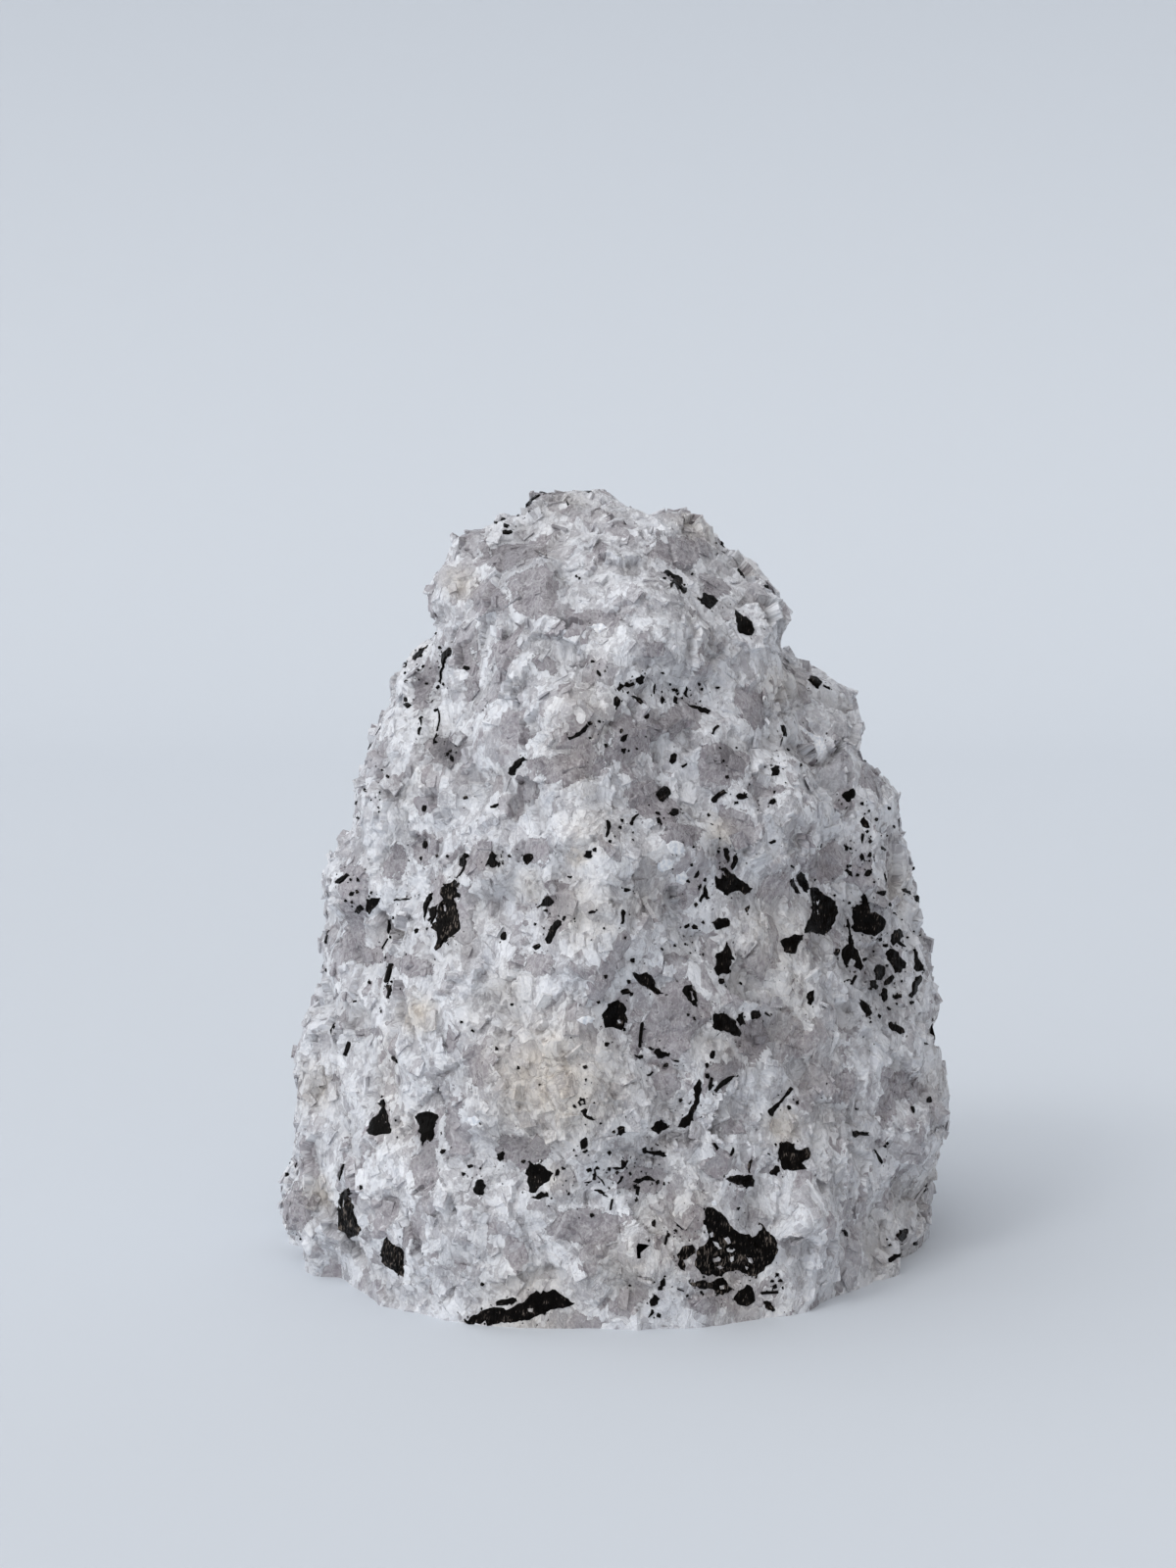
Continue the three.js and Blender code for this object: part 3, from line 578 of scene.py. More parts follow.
def picture_ray(pixel):
    """The direction of the ray through a pixel of the photograph."""
    _, turn, focal = picture_frame()
    across = (pixel[0] - PICTURE_WIDTH / 2) / focal
    down = (pixel[1] - PICTURE_HEIGHT / 2) / focal
    return (turn @ Vector((across, -down, -1))).normalized()


def points_of(mesh, kind="co"):
    """The mesh's points, or their normals, as rows of three numbers."""
    numbers = np.empty(len(mesh.vertices) * 3, dtype=np.float32)
    mesh.vertices.foreach_get(kind, numbers)
    return numbers.reshape(-1, 3)


def move_points(mesh, points):
    """Moves the mesh's points to new places."""
    mesh.vertices.foreach_set("co", points.ravel())
    mesh.update()


def pull(mesh):
    """Moves the block's outline by the listed pulls."""
    points = points_of(mesh)
    moved = points.copy()
    for (x, z), reach, (dx, dz) in PULLS:
        distance = np.hypot(points[:, 0] / MM - x, points[:, 2] / MM - z) / reach
        share = np.exp(-distance ** 2)
        moved[:, 0] += share * dx * MM
        moved[:, 2] += share * dz * MM
    move_points(mesh, moved)


def rough_block():
    """The block without its facets: remeshed finely, softened, and carried on below the ground line."""
    settings = bpy.context.scene.quartz_stone
    work = bmesh.new()
    work.from_mesh(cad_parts[NODE].data)
    bmesh.ops.remove_doubles(work, verts=work.verts, dist=0.002 * MM)
    for vert in work.verts:
        if vert.co.z < 0.01 * MM:
            vert.co.z -= SKIRT
    mesh = bpy.data.meshes.new("rough_block")
    work.to_mesh(mesh)
    work.free()
    block = bpy.data.objects.new("rough_block", mesh)
    bpy.context.scene.collection.objects.link(block)
    remesh = block.modifiers.new("Fine skin", "REMESH")
    remesh.mode = "VOXEL"
    remesh.voxel_size = settings.mesh_step * MM
    smooth = block.modifiers.new("Soften", "SMOOTH")
    smooth.factor = 0.5
    smooth.iterations = settings.soften
    mesh = evaluated_mesh(block)
    bpy.data.objects.remove(block)
    pull(mesh)
    return mesh


# The depth in mm that stands for a point far from every listed quartz grain
OUTSIDE_GRAINS = -3.0


def mark_front(mesh):
    """Stores how deep each point lies in a listed quartz grain, which is an uneven six-sided patch (mm),
    and how strongly it is stained, and dusted or darkened as painted shade."""
    eye, turn, focal = picture_frame()
    count = len(mesh.vertices)
    away = points_of(mesh).astype(float) - np.array(eye)
    seen = away @ np.array(turn)
    depth = -seen[:, 2]
    across = PICTURE_WIDTH / 2 + focal * seen[:, 0] / depth
    down = PICTURE_HEIGHT / 2 - focal * seen[:, 1] / depth
    pixel = depth / focal / MM
    facing = -(points_of(mesh, "normal").astype(float) * away).sum(axis=1) / np.linalg.norm(away, axis=1)
    shown = np.clip((facing + 0.05) * 6, 0, 1)

    def blotted(blots, fade):
        """How strongly the listed round blots reach each point. They end at fade times their radius."""
        total = np.zeros(count)
        for (x, y), radius, strength in blots:
            reach = np.hypot(across - x, down - y) * pixel / radius
            total = np.maximum(total, strength * np.clip(fade - reach, 0, 1))
        return total * shown

    quartz = np.full(count, OUTSIDE_GRAINS)
    draw = random.Random(bpy.context.scene.quartz_stone.seed)
    for (x, y), length, width, angle in QUARTZ_GRAINS:
        c, s = math.cos(math.radians(angle)), math.sin(math.radians(angle))
        right, up = (across - x) * pixel, (y - down) * pixel
        along, over = (right * c + up * s) / length, (up * c - right * s) / width
        reach = np.zeros(count)
        for side in range(6):
            out = (side + draw.uniform(-0.4, 0.4)) * math.tau / 6
            edge = (along * math.cos(out) + over * math.sin(out)) / draw.uniform(0.85, 1.2)
            reach = np.maximum(reach, edge)
        quartz = np.maximum(quartz, (1 - reach) * min(length, width))
    quartz = OUTSIDE_GRAINS + (quartz - OUTSIDE_GRAINS) * shown
    # The 'dust' attribute holds tourmaline dust and a few spots of painted shade
    for name, values in (("quartz", quartz), ("stain", blotted(STAINS, 1.3)), ("dust", blotted(DUST_AND_PAINTED_SHADE, 1.4))):
        mesh.attributes.new(name, "FLOAT", "POINT").data.foreach_set("value", values.astype(np.float32))


def spread(outline, step):
    """Points all over an outline, about a step apart, in the outline's own units."""
    points = list(outline)
    xs, ys = [x for x, _ in outline], [y for _, y in outline]
    for row in range(int((max(ys) - min(ys)) / step) + 1):
        for column in range(int((max(xs) - min(xs)) / step) + 1):
            x, y = min(xs) + (column + 0.5) * step, min(ys) + (row + 0.5) * step
            if within(outline, x, y):
                points.append((x, y))
    return points


def front_beds(skin):
    """Places on the stone, close together, that the crystals of the photograph will cover."""
    eye, _, focal = picture_frame()
    per_mm = focal * MM / abs(eye.y + FRONT)
    pixels = [pixel for outline in OUTLINES + GROOVED + PAINTED_GLINTS for pixel in spread(outline, 4)]
    for (x, y), length, _, angle in GRAINS + NEEDLES:
        c, s = math.cos(math.radians(angle)), math.sin(math.radians(angle))
        for part in (-0.42, -0.2, 0.0, 0.2, 0.42):
            reach = part * length * per_mm
            pixels.append((x + reach * c, y - reach * s))
    found = [skin.ray_cast(eye, picture_ray(pixel))[0] for pixel in pixels]
    return [place for place in found if place is not None]


# Crowds of crystals on the hidden sides, and the share of the crystals that lie in them
CROWDS = 9
IN_CROWDS = 0.35


def hidden_sites(skin):
    """Where crystals lie on the sides that the photograph doesn't show: places, and lengths in mm."""
    settings = bpy.context.scene.quartz_tourmaline
    draw = random.Random(settings.seed)
    eye, _, _ = picture_frame()
    low, high = (Vector(corner) for corner in CAD_BOX)
    groups = [(draw.uniform(0, math.tau), draw.uniform(0.1, 0.8)) for _ in range(CROWDS)]
    sites = []
    while len(sites) < settings.scatter:
        angle, level = draw.uniform(0, math.tau), draw.uniform(0.03, 0.98)
        if draw.random() < IN_CROWDS:
            near_angle, near_level = draw.choice(groups)
            angle, level = draw.gauss(near_angle, 0.13), draw.gauss(near_level, 0.06)
        start = Vector((OUTSIDE * math.cos(angle), OUTSIDE * math.sin(angle),
                        low.z + (high.z - low.z) * level))
        inward = Vector((-math.cos(angle), -math.sin(angle), draw.uniform(-0.5, 0.1))).normalized()
        place, normal, _, _ = skin.ray_cast(start, inward)
        if place is None or place.z < OVER_GROUND or normal.dot((eye - place).normalized()) > SEEN:
            continue
        chance = draw.random()
        large = chance > 0.92
        length = draw.uniform(3.5, 9.0) if large else 0.5 + 0.7 * draw.random() + 1.8 * chance ** 4
        sites.append((place, length))
    return sites


def mark_beds(mesh, skin, sites):
    """Stores each point's distance to the nearest crystal, in mm, so that the stone stays even there."""
    beds = [(place, 0.0) for place in front_beds(skin)] + [(place, 0.45 * length) for place, length in sites]
    tree = KDTree(len(beds))
    for index, (place, _) in enumerate(beds):
        tree.insert(place, index)
    tree.balance()
    distances = [min(distance / MM - beds[index][1] for _, index, distance in tree.find_n(vert.co, 2))
                 for vert in mesh.vertices]
    mesh.attributes.new("bed", "FLOAT", "POINT").data.foreach_set("value", distances)


# From metres to millimetres, with the steep grains drawn together upwards
GRAIN_SPACE = (1000.0, 1000.0, 790.0)

# Flat broken faces that meet in ridges: the direction across them, their width in mm and their slope
RIDGES = (
    ((0.68, 0.12, 0.72), 3.9, 0.17),
    ((-0.42, 0.36, 0.83), 2.6, 0.13),
    ((0.30, -0.80, 0.52), 1.9, 0.09),
)

# The turn of each size's pattern of grains: the mesh is broken along the same grains that are coloured
PLATE_TURN = 0.0
GRAIN_TURN = 3.1
CHIP_TURN = 5.2
BIT_TURN = 1.7
DUST_TURN = 17.0

# The three sizes of broken faces: their setting, the turn of their pattern, their tilt and their step in mm
BREAKS = (
    ("Plate", PLATE_TURN, 0.36, 0.40),
    ("Grain", GRAIN_TURN, 0.29, 0.20),
    ("Chip", CHIP_TURN, 0.25, 0.08),
)

# Over the breaks, in mm: the middle of the relief, its lowest and highest, and the height of its fine noise
RELIEF_MIDDLE = -0.34
RELIEF_LOW = -1.5
RELIEF_HIGH = 0.95
FINE_RELIEF = 0.3

# The thinnest and the thickest chip as shares of the chip size, and points to draw from to a square metre
CHIP_SHAPE = ((0.3, 0.25, 0.10), (1.0, 0.7, 0.17))
CHIP_CROWD = 3e6

# Widths in mm of the smallest coloured bits and of the cells that hold a speck of tourmaline dust each
BIT = 0.55
DUST_CELL = 0.9

# The middle of a random colour, and the turn that every pattern of grains has before its own
HALF = (0.5, 0.5, 0.5)
ASLANT = (0.5, 0.35, 0.6)


def warped(node, place, wobbles=((0.28, 1.7), (1.3, 0.5))):
    """The place with slow and quick wobbles, so that no grain has a straight side. A wobble is how many to a
    millimetre, and how far in millimetres."""
    for scale, strength in wobbles:
        noise = node(NOISE, Vector=place, Scale=scale, Detail=2.0)
        centred = node(VECTOR, "SUBTRACT", noise.outputs["Color"], HALF)
        place = node(VECTOR, "ADD", place, node(VECTOR, "SCALE", centred, strength))
    return place


def cells(node, place, size, turn):
    """Grains of a size in mm: the Voronoi cells of the place, and the place in units of a grain."""
    unit = node(VECTOR, "SCALE", place, node(MATH, "DIVIDE", 1.0, size))
    moved = node("ShaderNodeVectorRotate", {"rotation_type": "EULER_XYZ"}, Vector=unit,
                 Rotation=(ASLANT[0] + turn, ASLANT[1], ASLANT[2] + turn / 2))
    return node(VORONOI, NEAREST, Vector=moved, Scale=1.0, Randomness=1.0), moved


def lean_of(node, grains, unit):
    """A flat face through each grain, leaning its own way: its height in units of a grain."""
    off = node(VECTOR, "SUBTRACT", unit, grains.outputs["Position"])
    lean = node(VECTOR, "SUBTRACT", grains.outputs["Color"], HALF)
    return node(VECTOR, "DOT_PRODUCT", off, lean)


def new_tree(name, numbers):
    """A Geometry Nodes tree with a geometry going in and out, a material and named numbers, with the
    function that adds its nodes and the sockets of what goes in."""
    tree = bpy.data.node_groups.new(name, "GeometryNodeTree")
    face = tree.interface
    face.new_socket("Geometry", in_out="INPUT", socket_type="NodeSocketGeometry")
    for label, value in numbers.items():
        kind = "NodeSocketInt" if isinstance(value, int) else "NodeSocketFloat"
        face.new_socket(label, in_out="INPUT", socket_type=kind).default_value = value
    face.new_socket("Material", in_out="INPUT", socket_type="NodeSocketMaterial")
    face.new_socket("Geometry", in_out="OUTPUT", socket_type="NodeSocketGeometry")
    node = partial(add, tree)
    return tree, node, node("NodeGroupInput").outputs


def close_tree(node, geometry, material, smooth):
    """Ends a tree: real geometry with its material."""
    real = node("GeometryNodeRealizeInstances", Geometry=geometry)
    shaded = node("GeometryNodeSetShadeSmooth", Geometry=real, Shade_Smooth=smooth)
    node("NodeGroupOutput", Geometry=node("GeometryNodeSetMaterial", Geometry=shaded, Material=material))


def broken_skin(settings):
    """Geometry Nodes that break the block's skin into tilted plates and ridges, and note where each
    point lay before, so that the colour of every grain follows its face."""
    tree, node, given = new_tree("Broken skin", {
        "Plate": settings.plate, "Grain": settings.grain, "Chip": settings.chip, "Relief": settings.relief})
    place = node("GeometryNodeInputPosition")
    skin = node(STORE, VECTORS, Geometry=given["Geometry"], Name="rest", Value=place)
    steep = node(VECTOR, "MULTIPLY", place, GRAIN_SPACE)
    spot = warped(node, steep)
    bent = warped(node, steep, ((0.10, 7.0), (0.45, 0.9)))
    height = RELIEF_MIDDLE
    for label, turn, tilt, step in BREAKS:
        grains, unit = cells(node, spot, given[label], turn)
        slope = node(MATH, "MULTIPLY", lean_of(node, grains, unit), given[label])
        slope = node(MATH, "MULTIPLY", slope, tilt)
        own = node("ShaderNodeSeparateXYZ", None, grains.outputs["Color"])
        height = node(MATH, "ADD", height, node(MATH, "MULTIPLY_ADD", own, step, slope))
    for direction, width, slope in RIDGES:
        wave = node(MATH, "PINGPONG", node(VECTOR, "DOT_PRODUCT", bent, direction), width)
        middle = node(MATH, "ADD", height, -width * slope / 2)
        height = node(MATH, "MULTIPLY_ADD", wave, slope, middle)
    fine = node(NOISE, Vector=steep, Scale=1.0, Detail=2.0, Roughness=0.6)
    fine = node(MATH, "MULTIPLY_ADD", fine, FINE_RELIEF, -FINE_RELIEF / 2)
    height = node("ShaderNodeClamp", None, node(MATH, "ADD", height, fine), RELIEF_LOW, RELIEF_HIGH)

    # Quartz is calmer than feldspar, and the skin is even under the crystals and next to the saw cut
    calm = node(RANGE, None, node(READ, None, "quartz"), -0.5, 0.6, 1.0, 0.4)
    clear = node(RANGE, None, node(READ, None, "bed"), 0.25, 1.2, 0.08, 1.0)
    level = node("ShaderNodeSeparateXYZ", None, place).outputs["Z"]
    trimmed = node(RANGE, None, level, 0.3 * MM, 4 * MM, 0.3, 1.0)
    even = node(MATH, "MULTIPLY", calm, node(MATH, "MULTIPLY", clear, trimmed))
    height = node(MATH, "MULTIPLY", node(MATH, "MULTIPLY", height, given["Relief"]), even)
    skin = node(STORE, Geometry=skin, Name="relief", Value=height)
    push = node(VECTOR, "SCALE", node("GeometryNodeInputNormal"), node(MATH, "MULTIPLY", height, MM))
    moved = node("GeometryNodeSetPosition", Geometry=skin, Offset=push)
    close_tree(node, moved, given["Material"], True)
    return tree


def chip_scatter(settings):
    """Geometry Nodes that scatter thin broken chips over the skin, each with a tone of its own, and none on
    a crystal or under the base. The stone's pattern runs on through them."""
    tree, node, given = new_tree("Cleavage chips", {
        "Gap": settings.chip_gap, "Size": settings.chip_size, "Seed": settings.seed})
    level = node("ShaderNodeSeparateXYZ", None, node("GeometryNodeInputPosition")).outputs["Z"]
    clear = node(MATH, "MULTIPLY", node(MATH, "GREATER_THAN", node(READ, None, "bed"), 0.9),
                 node(MATH, "GREATER_THAN", level, 1.0 * MM))
    points = node("GeometryNodeDistributePointsOnFaces", {"distribute_method": "POISSON"},
                  Mesh=given["Geometry"], Selection=clear, Density_Max=CHIP_CROWD,
                  Distance_Min=node(MATH, "MULTIPLY", given["Gap"], MM), Seed=given["Seed"]).outputs
    turn = node("FunctionNodeRotateRotation", {"rotation_space": "LOCAL"}, Rotation=points["Rotation"],
                Rotate_By=node(RANDOM, VECTORS, (-0.2, -0.2, 0.0), (0.2, 0.2, math.tau), Seed=1))
    size = node(VECTOR, "SCALE", node(RANDOM, VECTORS, *CHIP_SHAPE, Seed=2), given["Size"])
    chips = node("GeometryNodeInstanceOnPoints", Points=points["Points"], Rotation=turn, Scale=size,
                 Instance=node("GeometryNodeMeshCube", Size=(MM, MM, MM)))
    toned = node(STORE, {"domain": "INSTANCE"}, Geometry=chips, Name="tone",
                 Value=node(RANDOM, {"data_type": "FLOAT"}, -1.0, 1.0, Seed=4))
    real = node("GeometryNodeRealizeInstances", Geometry=toned)
    chipped = node("GeometryNodeSetPosition", Geometry=real,
                   Offset=node(RANDOM, VECTORS, (-0.15 * MM,) * 3, (0.15 * MM,) * 3, Seed=5))
    chipped = node(STORE, VECTORS, Geometry=chipped, Name="rest", Value=node("GeometryNodeInputPosition"))
    close_tree(node, chipped, given["Material"], False)
    return tree


def grown(piece, label, tree, material, share=1.0):
    """The piece's mesh after a Geometry Nodes tree that takes the material as an input, and after faces
    that lie nearly flat together are joined until a share of them is left."""
    skin = piece.modifiers.new(label, "NODES")
    skin.node_group = tree
    for socket in tree.interface.items_tree:
        if socket.in_out == "INPUT" and socket.name == "Material":
            skin[socket.identifier] = material
    if share < 1:
        join = piece.modifiers.new("Join flat faces", "DECIMATE")
        join.ratio = share
    mesh = evaluated_mesh(piece)
    piece.modifiers.clear()
    return mesh


def box_in(mesh):
    """Brings the few points that stand out past the CAD block's box back to it."""
    low, high = (np.array(corner, dtype=np.float32) for corner in CAD_BOX)
    move_points(mesh, np.clip(points_of(mesh), low, high))


def saw(mesh):
    """Takes off everything under the ground line and closes the cut with one flat face."""
    work = bmesh.new()
    work.from_mesh(mesh)
    everything = work.verts[:] + work.edges[:] + work.faces[:]
    bmesh.ops.bisect_plane(work, geom=everything, dist=0.001 * MM, plane_co=(0, 0, 0), plane_no=(0, 0, -1),
                           clear_outer=True)
    rim = [edge for edge in work.edges if edge.is_boundary]
    cut = bmesh.ops.contextual_create(work, geom=rim)["faces"]
    bmesh.ops.triangulate(work, faces=cut)
    bmesh.ops.recalc_face_normals(work, faces=work.faces)
    work.to_mesh(mesh)
    work.free()


def new_material(name):
    """A material without nodes, and the function that adds them."""
    material = bpy.data.materials.new(name)
    material.use_nodes = True
    material.node_tree.nodes.clear()
    return material, partial(add, material.node_tree)


def close_material(node, **surface):
    """Ends a material with its surface."""
    node("ShaderNodeOutputMaterial", Surface=node("ShaderNodeBsdfPrincipled", **surface))


def stone_material(settings):
    """Granular feldspar and quartz, broken rather than cut. Feldspar splits into pale steps with feathery
    white cracks, quartz breaks glassy and grey, and iron has crept along some of the cracks."""
    material, node = new_material("broken_feldspar_and_quartz")
    listed, stain, sooty_and_shaded, bed, relief, tone = (
        node("ShaderNodeAttribute", {"attribute_name": name}).outputs["Fac"]
        for name in ("quartz", "stain", "dust", "bed", "relief", "tone"))
    rest = node("ShaderNodeAttribute", {"attribute_name": "rest"}).outputs["Vector"]
    steep = node(VECTOR, "MULTIPLY", rest, GRAIN_SPACE)
    spot = warped(node, steep)
    torn = warped(node, spot, ((2.4, 0.30),))
    grains, grain_unit = cells(node, torn, settings.grain, GRAIN_TURN)
    chips, chip_unit = cells(node, torn, settings.chip, CHIP_TURN)
    bits, bit_unit = cells(node, torn, BIT, BIT_TURN)
    plates, _ = cells(node, spot, settings.plate, PLATE_TURN)
    plate_draw, grain_draw, chip_draw, bit_draw = (
        node("ShaderNodeSeparateColor", None, size.outputs["Color"]).outputs
        for size in (plates, grains, chips, bits))
    drift = node(NOISE, Vector=steep, Scale=0.07, Detail=1.0, Roughness=0.6)
    cloud = node(NOISE, Vector=spot, Scale=0.45, Detail=3.0, Roughness=0.6)
    rag = node(NOISE, Vector=steep, Scale=1.8, Detail=3.0, Roughness=0.7)

    # Cleavage: thin layers that cross each grain in its own direction
    own_way = node(VECTOR, "SUBTRACT", grains.outputs["Color"], HALF)
    start = node(MATH, "MULTIPLY_ADD", cloud, 2.5, node(MATH, "MULTIPLY", grain_draw[0], 40.0))
    across = node(MATH, "MULTIPLY_ADD", node(VECTOR, "DOT_PRODUCT", grain_unit, own_way), 11.0, start)
    layers = node(NOISE, {"noise_dimensions": "1D"}, W=across, Scale=1.0, Detail=3.0, Roughness=0.7)

    # Which grains are quartz: the listed ones, and some of the rest
    listed = node(MATH, "MULTIPLY_ADD", rag, 1.1, node(MATH, "MULTIPLY_ADD", chip_draw[0], 0.5, listed))
    drawn = node(MATH, "MULTIPLY_ADD", drift, 0.7, node(MATH, "MULTIPLY", plate_draw[0], 0.35))
    drawn = node(MATH, "MULTIPLY_ADD", chip_draw[0], 0.3, node(MATH, "ADD", grain_draw[0], drawn))
    clear = node(RANGE, None, node(MATH, "ADD", grain_draw[2], chip_draw[1]), 0.4, 1.5, 0.5, 1.0)
    quartz = node(MATH, "MAXIMUM", node(RANGE, None, listed, 0.74, 0.8),
                  node(MATH, "MULTIPLY", node(RANGE, None, drawn, 1.40, 1.42), clear))
    quartz = node(MATH, "MULTIPLY", quartz, node(RANGE, None, stain, 0.3, 0.8, 1.0, 0.15))

    # Thin lines: white cracks where slow noises pass their middle, and the borders of the grains, where the
    # nearest grain and the second nearest are as far away
    rift, split = (
        node(MATH, "ABSOLUTE", node(MATH, "SUBTRACT", node(
            NOISE, Vector=torn, Scale=scale, Detail=2.0, Roughness=0.6), 0.5))
        for scale in (0.6, 1.5))
    wisps = node(MATH, "MAXIMUM", node(RANGE, None, rift, 0.0, 0.02, 1.0, 0.0),
                 node(RANGE, None, split, 0.0, 0.035, 0.9, 0.0))
    wisps = node(MATH, "MULTIPLY", wisps, node(RANGE, None, rag, 0.4, 0.55))
    gap, small_gap = (
        node(MATH, "SUBTRACT", node(VORONOI, SECOND, Vector=unit, Scale=1.0, Randomness=1.0),
             size.outputs["Distance"])
        for size, unit in ((grains, grain_unit), (chips, chip_unit)))
    seam = node(MATH, "MULTIPLY", node(RANGE, None, gap, 0.02, 0.11, 1.0, 0.0),
                node(RANGE, None, rag, 0.38, 0.6))
    fringe = node(MATH, "MULTIPLY", node(RANGE, None, small_gap, 0.03, 0.2, 1.0, 0.0),
                  node(RANGE, None, rag, 0.62, 0.42))
    bright = node(MATH, "MULTIPLY", seam, node(MATH, "GREATER_THAN", grain_draw[1], 0.4))
    bright = node(MATH, "MAXIMUM", bright, node(MATH, "MULTIPLY", fringe, 0.7))
    bright = node(MATH, "MAXIMUM", bright, wisps)
    # The borders of the greyer grains darken: painted shade in the crevices between grains
    painted_seam_shade = node(MATH, "MULTIPLY", seam, node(MATH, "LESS_THAN", grain_draw[1], 0.4))

    # Feldspar: paler and greyer layers, chips and bits
    shade = node(MATH, "MULTIPLY_ADD", grain_draw[1], 0.26, node(MATH, "MULTIPLY", layers, 0.8))
    for value, share in ((chip_draw[1], 0.16), (bit_draw[1], 0.2), (cloud, 0.6), (tone, 0.05)):
        shade = node(MATH, "MULTIPLY_ADD", value, share, shade)
    feldspar = node(MIX, COLOURS, node(RANGE, None, shade, 0.62, 1.2), linear(settings.feldspar_grey),
                    linear(settings.feldspar_pale))

    # Quartz: darker where it is thicker, with flecks of it in the feldspar
    fleck = node(MATH, "MULTIPLY_ADD", cloud, 0.7, chip_draw[2])
    fleck = node(RANGE, None, node(MATH, "MULTIPLY_ADD", bit_draw[2], 0.45, fleck), 1.2, 1.24, 0.0, 0.5)
    depth = node(MATH, "MULTIPLY_ADD", bit_draw[0], 0.4, node(MATH, "MULTIPLY", rag, 0.9))
    depth = node(MATH, "MULTIPLY_ADD", grain_draw[2], 0.5, node(MATH, "SUBTRACT", depth, 0.3))
    glassy = node(MIX, COLOURS, depth, linear(settings.quartz_dark), linear(settings.quartz_pale))
    mineral = node(MIX, COLOURS, node(MATH, "MAXIMUM", quartz, fleck), feldspar, glassy)

    # White cracks, dark seams painted as shade in the crevices, iron stain, painted shade in the hollows, and
    # grey quartz full of dust, darkened in a few places as painted shade
    crack = node(MATH, "MULTIPLY", bright, node(RANGE, None, quartz, 0.0, 1.0, 0.62, 0.4))
    mineral = node(MIX, COLOURS, crack, mineral, linear("#FAFAFB"))
    mineral = node(MIX, TINTED, node(MATH, "MULTIPLY", painted_seam_shade, 0.28), mineral, linear("#6D645F"))
    rust = node(MATH, "MAXIMUM", stain, node(RANGE, None, drift, 0.56, 0.75, 0.0, 0.4))
    rust = node(MATH, "MULTIPLY", rust, node(MATH, "MULTIPLY_ADD", cloud, 1.2, 0.3))
    mineral = node(MIX, TINTED, node(MATH, "MINIMUM", rust, 1.0), mineral, linear(settings.stain))
    # Painted shade: the lower the relief, the darker the colour
    low = node(RANGE, None, relief, -1.2, 0.0, 0.45, 0.0)
    mineral = node(MIX, TINTED, low, mineral, linear("#8B837E"))
    # Darker grey where there is dust, and in a few places painted shade
    smoke_and_shade = node(MATH, "MULTIPLY", sooty_and_shaded, node(RANGE, None, rag, 0.3, 0.6, 0.6, 1.15))
    mineral = node(MIX, COLOURS, smoke_and_shade, mineral, linear("#5E5A5E"))

    # Fine black dust of tourmaline, gathered near the crystals and in some places
    dust, _ = cells(node, spot, DUST_CELL, DUST_TURN)
    gathered = node(MATH, "MAXIMUM", node(RANGE, None, drift, 0.5, 0.75, 0.0, 0.15),
                    node(RANGE, None, bed, 0.4, 2.6, 0.24, 0.0))
    gathered = node(MATH, "MULTIPLY_ADD", sooty_and_shaded, 0.2, gathered)
    speck = node(MATH, "LESS_THAN", dust, node(MATH, "MULTIPLY", gathered, rag))
    colour = node(MIX, COLOURS, speck, mineral, linear("#2A2523"))

    # Broken steps too fine for the mesh
    stepped = node(MATH, "MULTIPLY", node(MATH, "MULTIPLY", layers, node(MATH, "SUBTRACT", 1.0, quartz)), 0.8)
    height = node(MATH, "MULTIPLY_ADD", lean_of(node, chips, chip_unit), 0.9, stepped)
    pimple = node(NOISE, Vector=steep, Scale=5.0, Detail=1.0, Roughness=0.6)
    for value, share in ((lean_of(node, bits, bit_unit), 0.5), (rag, 0.45), (seam, -0.14), (pimple, 0.12)):
        height = node(MATH, "MULTIPLY_ADD", value, share, height)
    bump = node("ShaderNodeBump", Strength=1.0, Distance=0.34 * MM, Height=height)

    rough = node(MATH, "MULTIPLY_ADD", chip_draw[2], -0.16, node(RANGE, None, quartz, 0.0, 1.0, 0.42, 0.26))
    close_material(node, Base_Color=colour, Roughness=rough, IOR=1.54, Normal=bump)
    return material


def painted_glint_material():
    """Feldspar split along one flat plane, pearly, with its glint painted in as a nearly white colour."""
    material, node = new_material("pearly_cleavage_painted_glint")
    along = node("ShaderNodeUVMap", {"uv_map": "grain"})
    layers = node(NOISE, {"noise_dimensions": "2D"}, Vector=along, Scale=2.2, Detail=3.0)
    # Painted highlight: a near-white colour that stands in for the glint
    white = node(MIX, COLOURS, node(RANGE, None, layers, 0.35, 0.62), linear("#D5DAE2"), linear("#FDFDFE"))
    bump = node("ShaderNodeBump", Strength=0.7, Distance=0.15 * MM, Height=layers)
    close_material(node, Base_Color=white, Roughness=0.3, IOR=1.52, Normal=bump)
    return material


# Faces that meet at more than this stay sharp, and a skin with fewer faces than this has no grains
SHARP = math.radians(32)
FEWEST_FACES = 10000


